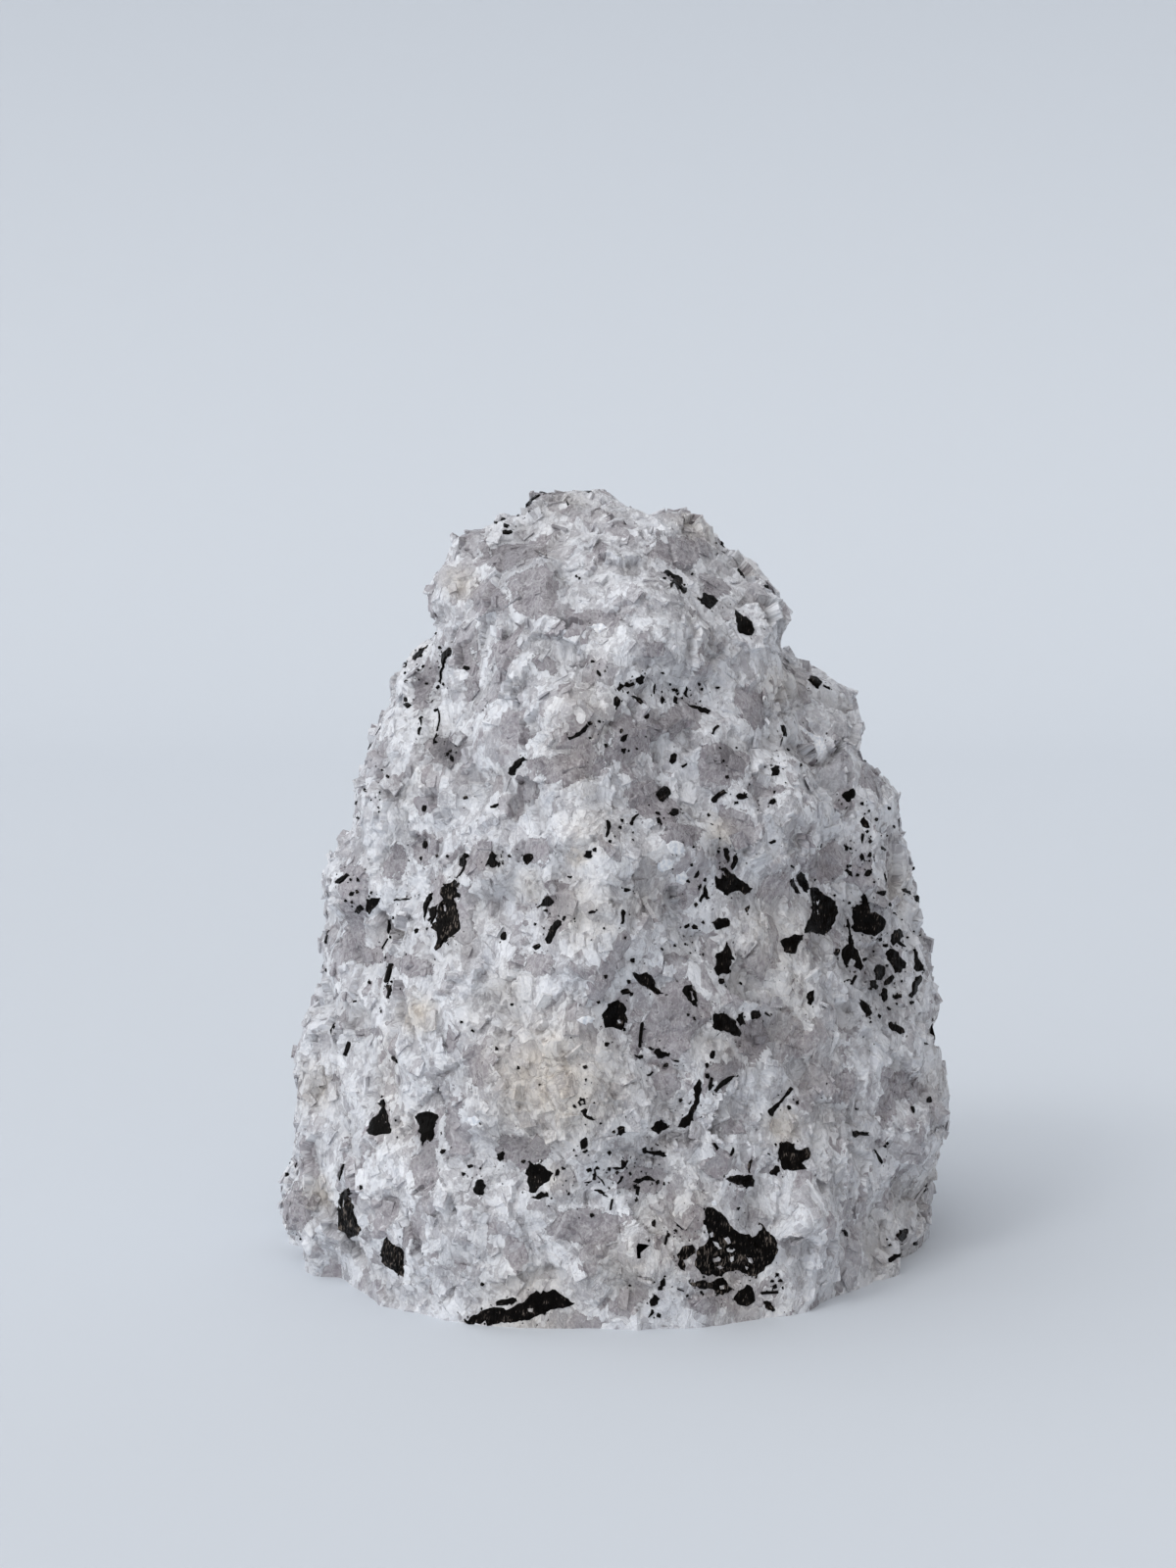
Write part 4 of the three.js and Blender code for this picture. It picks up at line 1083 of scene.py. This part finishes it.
class QUARTZ_OT_stone(bpy.types.Operator):
    """Breaks the block's skin into grains of feldspar and quartz, over the sawn base"""
    bl_idname = "quartz.stone"
    bl_label = "Broken stone"

    def execute(self, context):
        settings = context.scene.quartz_stone
        mesh = rough_block()
        skin = BVHTree.FromPolygons([v.co for v in mesh.vertices], [tuple(p.vertices) for p in mesh.polygons])
        mark_front(mesh)
        sites = hidden_sites(skin)
        mark_beds(mesh, skin, sites)
        context.scene["hidden_sites"] = [value for place, length in sites for value in (*place, length)]
        material = stone_material(settings)
        stone = own_mesh("broken_stone", mesh, [material])
        broken = grown(stone, "Broken skin", broken_skin(settings), material, settings.facet_share)
        saw(broken)
        box_in(broken)
        broken.set_sharp_from_angle(angle=SHARP)
        if len(broken.polygons) < FEWEST_FACES:
            raise RuntimeError("the stone's skin came out too coarse")
        stone.data = broken
        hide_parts(NODE)
        chips = own_mesh("cleavage_chips", broken.copy(), [material])
        chips.data = grown(chips, "Cleavage chips", chip_scatter(settings), material)
        box_in(chips.data)
        return {"FINISHED"}


def tourmaline_material(settings, speckled):
    """Black tourmaline as it grew: glossy, nearly opaque, with fine grooves along each crystal and a brown
    edge where it is thin. The speckled kind holds pale crumbs of quartz between its grooves."""
    material, node = new_material("speckled_tourmaline" if speckled else "black_tourmaline")
    along = node("ShaderNodeUVMap", {"uv_map": "grain"})
    place = node("ShaderNodeTexCoord").outputs["Object"]
    grooves, scratches = (
        node(NOISE, {"noise_dimensions": "2D"}, Scale=1.0, Detail=detail,
             Vector=node(VECTOR, "MULTIPLY", along, stretch))
        for detail, stretch in ((2.0, (0.6, 4.0, 1.0)), (3.0, (1.3, 6.5, 1.0))))
    patchy = node(NOISE, Vector=place, Scale=700.0, Detail=3.0)
    black = node(MIX, COLOURS, node(RANGE, None, patchy, 0.5, 0.7), linear(settings.black),
                 linear(settings.brown))
    scratches = node(MATH, "MULTIPLY_ADD", patchy, 0.8, scratches)
    low, high = (1.02, 1.10) if speckled else (1.12, 1.2)
    black = node(MIX, COLOURS, node(RANGE, None, scratches, low, high, 0.0, 0.75), black, linear("#7A7068"))
    lumps = node(VORONOI, Vector=place, Scale=1200.0)
    height = node(MATH, "MULTIPLY_ADD", grooves, 1.4, lumps)
    bump = node("ShaderNodeBump", Strength=0.9, Distance=0.16 * MM, Height=height)
    gloss = node(RANGE, None, patchy, 0.3, 0.7, 0.22, 0.5)
    close_material(node, Base_Color=black, Roughness=gloss, IOR=1.5, Normal=bump, Specular_IOR_Level=0.06)
    return material


# In mm: how far over the skin the search for the stone under a crystal starts, and how far it reaches
PROBE_FROM = 4
PROBE_REACH = 9

# In mm: the lengths that a crystal's rim is broken into, the width of the slope inside it and how far it
# stands out there, and the least and most space between the points of its face
RIM_STEP = 0.38
RIM_SLOPE = 0.16
RIM_RISE = 0.03
FACE_STEPS = (0.34, 0.6)

# How far down, in pixels, the stone is looked for under a crystal that the outline just misses
OFF_THE_EDGE = 40

# The turn of the grooves in the outlined crystals, in degrees: nearly upright
UPRIGHT = 85


class Crystals:
    """Gathers crystals that lie in the stone's skin into one mesh, with their length along the UV map."""

    def __init__(self, stone):
        self.skin = BVHTree.FromPolygons([v.co for v in stone.data.vertices],
                                         [tuple(p.vertices) for p in stone.data.polygons])
        self.settings = bpy.context.scene.quartz_tourmaline
        self.draw = random.Random(self.settings.seed)
        self.points = []
        self.faces = []
        self.lengthwise = []

    def hit(self, pixel):
        """The place on the stone under a pixel of the photograph."""
        eye, _, _ = picture_frame()
        for down in range(0, OFF_THE_EDGE, 4):
            found, _, _, _ = self.skin.ray_cast(eye, picture_ray((pixel[0], pixel[1] + down)))
            if found is not None:
                return found
        raise RuntimeError(f"the pixel {pixel} lies off the stone")

    def pixel_size(self, pixel):
        """The width in mm that one pixel of the photograph covers on the stone there."""
        eye, turn, focal = picture_frame()
        return (self.hit(pixel) - eye).dot(turn @ Vector((0, 0, -1))) / focal / MM

    def broad_normal(self, place, reach):
        """The skin's normal averaged over a disc, so that one tilted grain doesn't turn a crystal."""
        total = Vector()
        for turn in range(8):
            for part in (0.4, 1.0):
                angle = turn * math.tau / 8
                side = Vector((math.cos(angle), 0, math.sin(angle)))
                flat = Vector((side.x * math.cos(0.8), side.x * math.sin(0.8), side.z))
                for offset in (side, flat):
                    _, normal, _, _ = self.skin.find_nearest(place + offset * reach * part)
                    total += normal
        return total.normalized()

    def from_front(self, outline, middle, pixel, grain_turn, rise, holes=()):
        """A crystal of the photograph: its outline, in mm around a pixel, laid on the stone as the camera
        sees it."""
        eye, _, _ = picture_frame()
        place = self.hit(middle)
        reach = max(math.hypot(u, v) for u, v in outline) * MM
        normal, across, upward = self.frame_at(place, max(reach, 1.2 * MM))

        def stone_under(corner):
            start = place + (across * corner[0] + upward * corner[1]) * MM
            ray = picture_ray((middle[0] + corner[0] / pixel, middle[1] - corner[1] / pixel))
            found, _, _, _ = self.skin.ray_cast(eye, ray)
            if found is not None and (found - start).length < 1.6 * MM + reach:
                return found
            return self.below(start, normal)

        self.lay(outline, stone_under, normal, grain_turn, rise, holes)

    def below(self, start, normal):
        """The stone straight below a place, or over a gap the place itself."""
        found, _, _, _ = self.skin.ray_cast(start + normal * PROBE_FROM * MM, -normal, PROBE_REACH * MM)
        return found if found is not None else start

    def from_side(self, place, normal, across, upward, outline, grain_turn, rise):
        """A crystal away from the photograph: its outline, in mm along across and upward, laid on the stone
        straight down."""

        def stone_under(corner):
            return self.below(place + (across * corner[0] + upward * corner[1]) * MM, normal)

        self.lay(outline, stone_under, normal, grain_turn, rise, ())

    def lay(self, outline, stone_under, normal, grain_turn, rise, holes):
        """A flush crystal that stands out by rise inside its rim and is sunk into the stone all round."""
        rim = self.refined(outline)
        size = max(max(abs(u), abs(v)) for u, v in rim)
        inner = self.inset(rim, min(RIM_SLOPE, 0.25 * self.narrowness(rim)))
        rings = [rim, inner] + [self.refined(hole) for hole in holes]
        flat, edges = [], []
        for ring in rings:
            first = len(flat)
            flat += [Vector(p) for p in ring]
            edges += [(first + i, first + (i + 1) % len(ring)) for i in range(len(ring))]
        edge_count = len(flat)
        flat += self.fill(inner, max(FACE_STEPS[0], min(FACE_STEPS[1], size / 9)))
        corners, _, faces, _, _, _ = delaunay_2d_cdt(flat, edges, [list(range(len(rim)))], 1, 1e-5)
        faces = [face for face in faces if not self.in_hole(corners, face, rings[2:])]
        if len(corners) < 3 or not faces:
            return
        on_rim = [flat[i] for i in range(edge_count) if not len(rim) <= i < 2 * len(rim)]
        tops = []
        unit = self.draw.random() * 40
        for corner in corners:
            low = min((corner - p).length for p in on_rim) < 1e-4
            height = RIM_RISE if low else rise * (0.75 + 0.5 * self.facet(corner, unit, size))
            tops.append(stone_under(corner) + normal * height * MM)
        first = len(self.points)
        self.points += tops
        self.points += [p - normal * self.settings.sink * MM for p in tops]
        turn = math.radians(grain_turn)
        for corner in list(corners) * 2:
            self.lengthwise.append((corner.x * math.cos(turn) + corner.y * math.sin(turn) + unit,
                                    corner.y * math.cos(turn) - corner.x * math.sin(turn) + unit))
        total = len(corners)
        sides = set()
        for face in faces:
            self.faces.append([first + i for i in face])
            self.faces.append([first + total + i for i in reversed(face)])
            sides.update(zip(face, face[1:] + face[:1]))
        for a, b in sides:
            if (b, a) not in sides:
                self.faces.append([first + b, first + a, first + total + a, first + total + b])

    @staticmethod
    def in_hole(corners, face, holes):
        """Whether a face lies in one of the holes."""
        u = sum(corners[i].x for i in face) / len(face)
        v = sum(corners[i].y for i in face) / len(face)
        return any(within(hole, u, v) for hole in holes)

    def refined(self, outline):
        """The outline with its sides broken into short, slightly ragged lengths."""
        rim = []
        for (u0, v0), (u1, v1) in zip(outline, outline[1:] + outline[:1]):
            length = math.hypot(u1 - u0, v1 - v0)
            steps = max(1, round(length / RIM_STEP))
            for step in range(steps):
                part = step / steps
                shake = 0.05 if step == 0 else 0.14
                rim.append((u0 + (u1 - u0) * part + self.draw.uniform(-shake, shake),
                            v0 + (v1 - v0) * part + self.draw.uniform(-shake, shake)))
        if sum(a[0] * b[1] - b[0] * a[1] for a, b in zip(rim, rim[1:] + rim[:1])) < 0:
            rim.reverse()
        return rim

    @staticmethod
    def narrowness(rim):
        """About half the width of the outline's narrowest way across."""
        area = abs(sum(a[0] * b[1] - b[0] * a[1] for a, b in zip(rim, rim[1:] + rim[:1]))) / 2
        edge = sum(math.dist(a, b) for a, b in zip(rim, rim[1:] + rim[:1]))
        return 2 * area / edge

    @staticmethod
    def inset(rim, distance):
        """The outline moved inwards."""
        inner = []
        for before, here, after in zip(rim[-1:] + rim[:-1], rim, rim[1:] + rim[:1]):
            du, dv = after[0] - before[0], after[1] - before[1]
            length = math.hypot(du, dv) or 1.0
            inner.append((here[0] - dv / length * distance, here[1] + du / length * distance))
        return inner

    def fill(self, ring, step):
        """Points inside a ring, about a step apart and clear of it."""
        low_u, high_u = min(p[0] for p in ring), max(p[0] for p in ring)
        low_v, high_v = min(p[1] for p in ring), max(p[1] for p in ring)
        points = []
        rows = int((high_v - low_v) / step) + 1
        columns = int((high_u - low_u) / step) + 1
        for row in range(rows):
            for column in range(columns):
                u = low_u + (column + self.draw.uniform(0.2, 0.8)) * step
                v = low_v + (row + self.draw.uniform(0.2, 0.8)) * step
                clear = min(math.dist((u, v), p) for p in ring)
                if clear > 0.45 * step and within(ring, u, v):
                    points.append(Vector((u, v)))
        return points

    @staticmethod
    def facet(corner, unit, size):
        """Flat steps across a crystal, from -1 to 1."""
        slant = math.sin(corner.x * 1.7 + unit) + math.sin(corner.y * 1.1 + 2 * unit)
        return math.tanh(1.5 * slant) * min(1.0, size / 2)

    def frame_at(self, place, reach):
        """The skin's normal at a place, and the directions on the skin that the picture shows as across
        and up, scaled so that a length drawn on the skin keeps its length in the picture."""
        eye, turn, _ = picture_frame()
        normal = self.broad_normal(place, reach)
        view = (place - eye).normalized()
        if normal.dot(-view) < 0.5:
            normal = (normal - view * (0.5 - normal.dot(-view)) * 1.4).normalized()
        right, up = turn @ Vector((1, 0, 0)), turn @ Vector((0, 1, 0))
        across = right - view * (right.dot(normal) / view.dot(normal))
        upward = up - view * (up.dot(normal) / view.dot(normal))
        return normal, across, upward

    def column(self, place, normal, direction, length, width):
        """A prism lying half sunk in the skin: six uneven sides, and ends broken across."""
        side = normal.cross(direction).normalized()
        half = length / 2
        stations = [-half, -0.92 * half, -0.45 * half, 0.05 * half, 0.5 * half, 0.93 * half, half]
        skew = self.draw.uniform(-0.25, 0.25) * width
        turn = self.draw.random() * math.tau
        sides = 7
        girth = [self.draw.uniform(0.85, 1.12) for _ in range(sides)]
        ends = []
        for station in (-half, half):
            start = place + direction * station * MM
            found, _, _, _ = self.skin.ray_cast(start + normal * 3 * MM, -normal, 6 * MM)
            ends.append(0.0 if found is None else (found - start).dot(normal) / MM)
        ends = [max(-0.8, min(0.8, end)) for end in ends]
        first = len(self.points)
        for n, station in enumerate(stations):
            part = (station + half) / length
            level = ends[0] + (ends[1] - ends[0]) * part + 0.04 * width
            thick = width / 2 * (0.55 if n in (0, len(stations) - 1) else 1.0)
            bend = 0.05 * width * math.sin(part * math.pi)
            for k in range(sides):
                angle = turn + k * math.tau / sides
                out = thick * girth[k]
                slant = skew * math.cos(angle) if n in (0, len(stations) - 1) else 0.0
                self.points.append(place + direction * (station + slant) * MM
                                   + side * (out * math.cos(angle) + bend) * MM
                                   + normal * (level + 0.8 * out * math.sin(angle)) * MM)
                self.lengthwise.append((station, k * width / 2))
        for n in range(len(stations) - 1):
            for k in range(sides):
                a, b = first + n * sides + k, first + n * sides + (k + 1) % sides
                self.faces.append([a, b, b + sides, a + sides])
        last = first + (len(stations) - 1) * sides
        self.faces.append([first + k for k in reversed(range(sides))])
        self.faces.append([last + k for k in range(sides)])

    def crumb(self, place, normal):
        """A tiny blocky crystal, half sunk and oftener small than large."""
        size = 0.25 + 0.6 * self.draw.random() ** 2
        start = self.draw.random() * math.tau
        side = normal.orthogonal().normalized()
        other = normal.cross(side)
        first = len(self.points)
        for level, share in ((0.3, 0.75), (-0.6, 1.0)):
            for k in range(4):
                angle = start + (k + self.draw.uniform(-0.3, 0.3)) * math.tau / 4
                reach = size / 2 * share * self.draw.uniform(0.6, 1.3)
                height = size * level * self.draw.uniform(0.7, 1.3)
                self.points.append(place + (side * math.cos(angle) * reach + other * math.sin(angle) * reach
                                            + normal * height) * MM)
                self.lengthwise.append((reach * math.cos(angle), reach * math.sin(angle)))
        a, b, c, d, e, f, g, h = range(first, first + 8)
        self.faces += [[a, b, c, d], [h, g, f, e], [a, e, f, b], [b, f, g, c], [c, g, h, d], [d, h, e, a]]

    def sliver(self, length, width):
        """The outline of a needle that lies flush: its sides ragged and its ends broken."""
        steps = max(2, round(length / 0.45))
        upper, lower = [], []
        bend = self.draw.uniform(-0.12, 0.12) * length
        for step in range(steps + 1):
            part = step / steps
            middle = bend * math.sin(part * math.pi) + self.draw.uniform(-0.08, 0.08) * width
            half = width / 2 * self.draw.uniform(0.55, 1.25) * (0.7 if step in (0, steps) else 1.0)
            u = (part - 0.5) * length
            upper.append((u + self.draw.uniform(-0.1, 0.1), middle + half))
            lower.append((u + self.draw.uniform(-0.1, 0.1), middle - half))
        return lower + upper[::-1]

    def stub(self, length, width):
        """The outline of a small blocky grain, in mm, its length along the first axis."""
        corners = self.draw.choice((5, 6, 6, 7))
        start = self.draw.random() * math.tau / corners
        outline = []
        for k in range(corners):
            angle = start + (k + self.draw.uniform(-0.25, 0.25)) * math.tau / corners
            reach = self.draw.uniform(0.85, 1.15)
            square = max(abs(math.cos(angle)), abs(math.sin(angle))) ** -0.6
            outline.append((length / 2 * reach * square * math.cos(angle),
                            width / 2 * reach * square * math.sin(angle)))
        return outline

    def borrowed(self, length):
        """The outline of one of the photograph's crystals, brought to a length in mm."""
        corners = self.draw.choice(OUTLINES + GROOVED)
        x0 = (min(x for x, _ in corners) + max(x for x, _ in corners)) / 2
        y0 = (min(y for _, y in corners) + max(y for _, y in corners)) / 2
        share = length / 2 / max(math.hypot(x - x0, y - y0) for x, y in corners)
        return [((x - x0) * share, (y0 - y) * share) for x, y in corners]

    def mesh(self, name):
        """The gathered crystals as one mesh with outward faces."""
        made = bpy.data.meshes.new(name)
        made.from_pydata(self.points, [], self.faces)
        work = bmesh.new()
        work.from_mesh(made)
        bmesh.ops.recalc_face_normals(work, faces=work.faces)
        work.to_mesh(made)
        work.free()
        box_in(made)
        layer = made.uv_layers.new(name="grain")
        for loop in made.loops:
            layer.data[loop.index].uv = self.lengthwise[loop.vertex_index]
        return made


def within(ring, u, v):
    """Whether a point lies inside a closed outline."""
    inside = False
    for (u0, v0), (u1, v1) in zip(ring, ring[1:] + ring[:1]):
        if (v0 > v) != (v1 > v) and u < (u1 - u0) * (v - v0) / (v1 - v0) + u0:
            inside = not inside
    return inside


def turned(outline, degrees):
    """An outline turned anticlockwise."""
    c, s = math.cos(math.radians(degrees)), math.sin(math.radians(degrees))
    return [(u * c - v * s, u * s + v * c) for u, v in outline]


class QUARTZ_OT_patches(bpy.types.Operator):
    """Lays the large black tourmaline crystals into the front of the stone"""
    bl_idname = "quartz.patches"
    bl_label = "Large tourmaline"

    def execute(self, context):
        stone = bpy.data.objects["broken_stone"]
        settings = context.scene.quartz_tourmaline
        kinds = {
            "large_tourmaline": (OUTLINES, settings.rise, tourmaline_material(settings, False), "tourmaline"),
            "grooved_tourmaline": (GROOVED, settings.rise, tourmaline_material(settings, True), "tourmaline"),
            "cleavage_painted_glints": (PAINTED_GLINTS, 0.6 * settings.rise, painted_glint_material(), "quartz"),
        }
        for name, (outlines, rise, material, slot) in kinds.items():
            crystals = Crystals(stone)
            for corners in outlines:
                self.lay_outline(crystals, corners, rise)
            own_mesh(name, crystals.mesh(name), [material])
        return {"FINISHED"}

    @staticmethod
    def lay_outline(crystals, corners, rise):
        """Lays one traced outline, less the crumbs of stone that show through it."""
        middle = (sum(x for x, _ in corners) / len(corners), sum(y for _, y in corners) / len(corners))
        pixel = crystals.pixel_size(middle)

        def in_mm(ring):
            return [((x - middle[0]) * pixel, (middle[1] - y) * pixel) for x, y in ring]

        holes = [in_mm(ring) for ring in CRUMBS if all(within(corners, x, y) for x, y in ring)]
        crystals.from_front(in_mm(corners), middle, pixel, UPRIGHT, rise, holes)


class QUARTZ_OT_grains(bpy.types.Operator):
    """Sets the small black grains and needles into the front of the stone"""
    bl_idname = "quartz.grains"
    bl_label = "Tourmaline grains and needles"

    def execute(self, context):
        settings = context.scene.quartz_tourmaline
        crystals = Crystals(bpy.data.objects["broken_stone"])
        for middle, length, width, angle in GRAINS:
            outline = turned(crystals.stub(length, width), angle)
            crystals.from_front(outline, middle, crystals.pixel_size(middle), angle, settings.rise * 1.1)
        for middle, length, width, angle in NEEDLES:
            if crystals.draw.random() < 0.3:
                place = crystals.hit(middle)
                normal, across, upward = crystals.frame_at(place, 1.2 * MM)
                lean = math.radians(angle)
                direction = (across * math.cos(lean) + upward * math.sin(lean)).normalized()
                crystals.column(place, normal, direction, length, width)
            else:
                outline = turned(crystals.sliver(length, width), angle)
                crystals.from_front(outline, middle, crystals.pixel_size(middle), angle, settings.rise)
        for (x, y), wide, high, count in PEPPER:
            for _ in range(count):
                pixel = (x + crystals.draw.gauss(0, wide * 0.55), y + crystals.draw.gauss(0, high * 0.55))
                place = crystals.skin.ray_cast(picture_frame()[0], picture_ray(pixel))[0]
                if place is not None:
                    crystals.crumb(place, crystals.broad_normal(place, 0.5 * MM))
        black = tourmaline_material(settings, False)
        own_mesh("tourmaline_grains", crystals.mesh("tourmaline_grains"), [black])
        return {"FINISHED"}


class QUARTZ_OT_scatter(bpy.types.Operator):
    """Sets crystals of the same kinds into the sides and back, where the photograph doesn't reach"""
    bl_idname = "quartz.scatter"
    bl_label = "Tourmaline behind"

    def execute(self, context):
        settings = context.scene.quartz_tourmaline
        crystals = Crystals(bpy.data.objects["broken_stone"])
        draw = crystals.draw
        sites = iter(context.scene["hidden_sites"])
        for x, y, z, length in zip(sites, sites, sites, sites):
            place, _, _, _ = crystals.skin.find_nearest(Vector((x, y, z)))
            normal = crystals.broad_normal(place, 1.5 * MM)
            across = Vector((0, 0, 1)).cross(normal).normalized()
            upward = normal.cross(across).normalized()
            lean = draw.gauss(80, 40)
            if length < 5 and draw.random() < 0.25:
                turn = math.radians(lean)
                direction = across * math.cos(turn) + upward * math.sin(turn)
                crystals.column(place, normal, direction, 1.6 * length, draw.uniform(0.3, 0.9))
                continue
            if length > 1.5:
                outline = turned(crystals.borrowed(length), lean)
            else:
                outline = turned(crystals.stub(length, length * draw.uniform(0.5, 0.9)), lean)
            crystals.from_side(place, normal, across, upward, outline, lean, settings.rise)
            for _ in range(draw.choice((0, 0, 2, 4, 7))):
                beside = place + (across * draw.gauss(0, 1.8) + upward * draw.gauss(0, 2.4)) * MM
                spot, out, _, _ = crystals.skin.find_nearest(beside)
                if spot.z > OVER_GROUND:
                    crystals.crumb(spot, out)
        del context.scene["hidden_sites"]
        black = tourmaline_material(settings, False)
        own_mesh("tourmaline_behind", crystals.mesh("tourmaline_behind"), [black])
        return {"FINISHED"}


# The two suns: their name, share of the key light's strength, width in degrees and linear colour
LAMPS = (
    ("key", 0.55, 66, (0.955, 0.98, 1.0)),
    ("window", 0.45, 16, (1.0, 1.0, 1.0)),
)
LIT_FROM = (-0.64, -0.60, 0.80)

# The sky's linear colours on the lit and the shaded side, and the direction of the shaded side
LEFT_SKY = (1.52, 1.55, 1.60, 1.0)
RIGHT_SKY = (0.31, 0.275, 0.255, 1.0)
SHADED_SIDE = (1.0, 0.0, -0.6)


class QUARTZ_OT_stage(bpy.types.Operator):
    """Sets up the pale floor, the soft light and the camera"""
    bl_idname = "quartz.stage"
    bl_label = "Stage"

    def execute(self, context):
        scene = context.scene
        settings = scene.quartz_stage
        camera = bpy.data.cameras.new("camera")
        camera.lens = settings.lens
        camera.sensor_width = SENSOR
        camera.clip_end = 20
        eye = bpy.data.objects.new("camera", camera)
        eye.location = settings.eye
        eye.rotation_euler = (math.pi / 2 - settings.pitch, 0, 0)
        scene.collection.objects.link(eye)
        scene.camera = eye
        self.floor(scene, settings)
        self.lights(scene, settings)
        scene.view_settings.view_transform = "Standard"
        return {"FINISHED"}

    @staticmethod
    def floor(scene, settings):
        """A sheet that lies flat, then sweeps up behind in one curve."""
        half, back, bend, top, steps = 2.5, 0.9, 0.6, 2.4, 24
        line = [(-half, 0.0)] + [
            (back + bend * math.sin(i / steps * math.pi / 2), bend * (1 - math.cos(i / steps * math.pi / 2)))
            for i in range(steps + 1)] + [(back + bend, top)]
        points = [(x, y, z) for y, z in line for x in (-half, half)]
        faces = [(2 * i, 2 * i + 1, 2 * i + 3, 2 * i + 2) for i in range(len(line) - 1)]
        mesh = bpy.data.meshes.new("floor")
        mesh.from_pydata(points, [], faces)
        for face in mesh.polygons:
            face.use_smooth = True
        material, node = new_material("matt_paper")
        close_material(node, Base_Color=linear(settings.floor), Roughness=0.9)
        mesh.materials.append(material)
        floor = bpy.data.objects.new("floor", mesh)
        scene.collection.objects.link(floor)

    @staticmethod
    def lights(scene, settings):
        """A broad soft light and a smaller one from the upper left and front, and a sky that is cool and
        bright on the left and dims to a warm grey on the right."""
        for name, share, width, colour in LAMPS:
            lamp = bpy.data.lights.new(name, "SUN")
            lamp.angle = math.radians(width)
            lamp.energy = settings.key_strength * share
            lamp.color = colour
            sun = bpy.data.objects.new(name, lamp)
            sun.location = LIT_FROM
            sun.rotation_euler = (-sun.location).to_track_quat("-Z", "Y").to_euler()
            scene.collection.objects.link(sun)
        world = bpy.data.worlds.new("soft_sky")
        world.use_nodes = True
        world.node_tree.nodes.clear()
        node = partial(add, world.node_tree)
        towards = node("ShaderNodeTexCoord").outputs["Generated"]
        side = node(VECTOR, "DOT_PRODUCT", towards, SHADED_SIDE)
        colour = node(MIX, COLOURS, node(RANGE, None, side, -0.8, 0.8), LEFT_SKY, RIGHT_SKY)
        sky = node("ShaderNodeBackground", Color=colour, Strength=settings.sky_strength)
        node("ShaderNodeOutputWorld", Surface=sky)
        scene.world = world


class QUARTZ_PT_panel(bpy.types.Panel):
    """Lists the steps that dress the block"""
    bl_idname = "QUARTZ_PT_panel"
    bl_label = "Quartz block"
    bl_space_type = "VIEW_3D"
    bl_region_type = "UI"
    bl_category = "Quartz block"

    def draw(self, context):
        for operator in STEPS:
            self.layout.operator(operator.bl_idname)
        for name in GROUPS:
            group = getattr(context.scene, name)
            box = self.layout.box()
            for key in group.__annotations__:
                box.prop(group, key)


GROUPS = {
    "quartz_stage": StageSettings,
    "quartz_stone": StoneSettings,
    "quartz_tourmaline": TourmalineSettings,
}
STEPS = (QUARTZ_OT_stage, QUARTZ_OT_stone, QUARTZ_OT_patches, QUARTZ_OT_grains, QUARTZ_OT_scatter)


def register():
    for name, group in GROUPS.items():
        bpy.utils.register_class(group)
        setattr(bpy.types.Scene, name, bpy.props.PointerProperty(type=group))
    for cls in (*STEPS, QUARTZ_PT_panel):
        bpy.utils.register_class(cls)


def unregister():
    for cls in (QUARTZ_PT_panel, *reversed(STEPS)):
        bpy.utils.unregister_class(cls)
    for name, group in GROUPS.items():
        delattr(bpy.types.Scene, name)
        bpy.utils.unregister_class(group)


def main():
    register()
    bpy.ops.quartz.stage()
    bpy.ops.quartz.stone()
    bpy.ops.quartz.patches()
    bpy.ops.quartz.grains()
    bpy.ops.quartz.scatter()


if __name__ == "__main__":
    main()
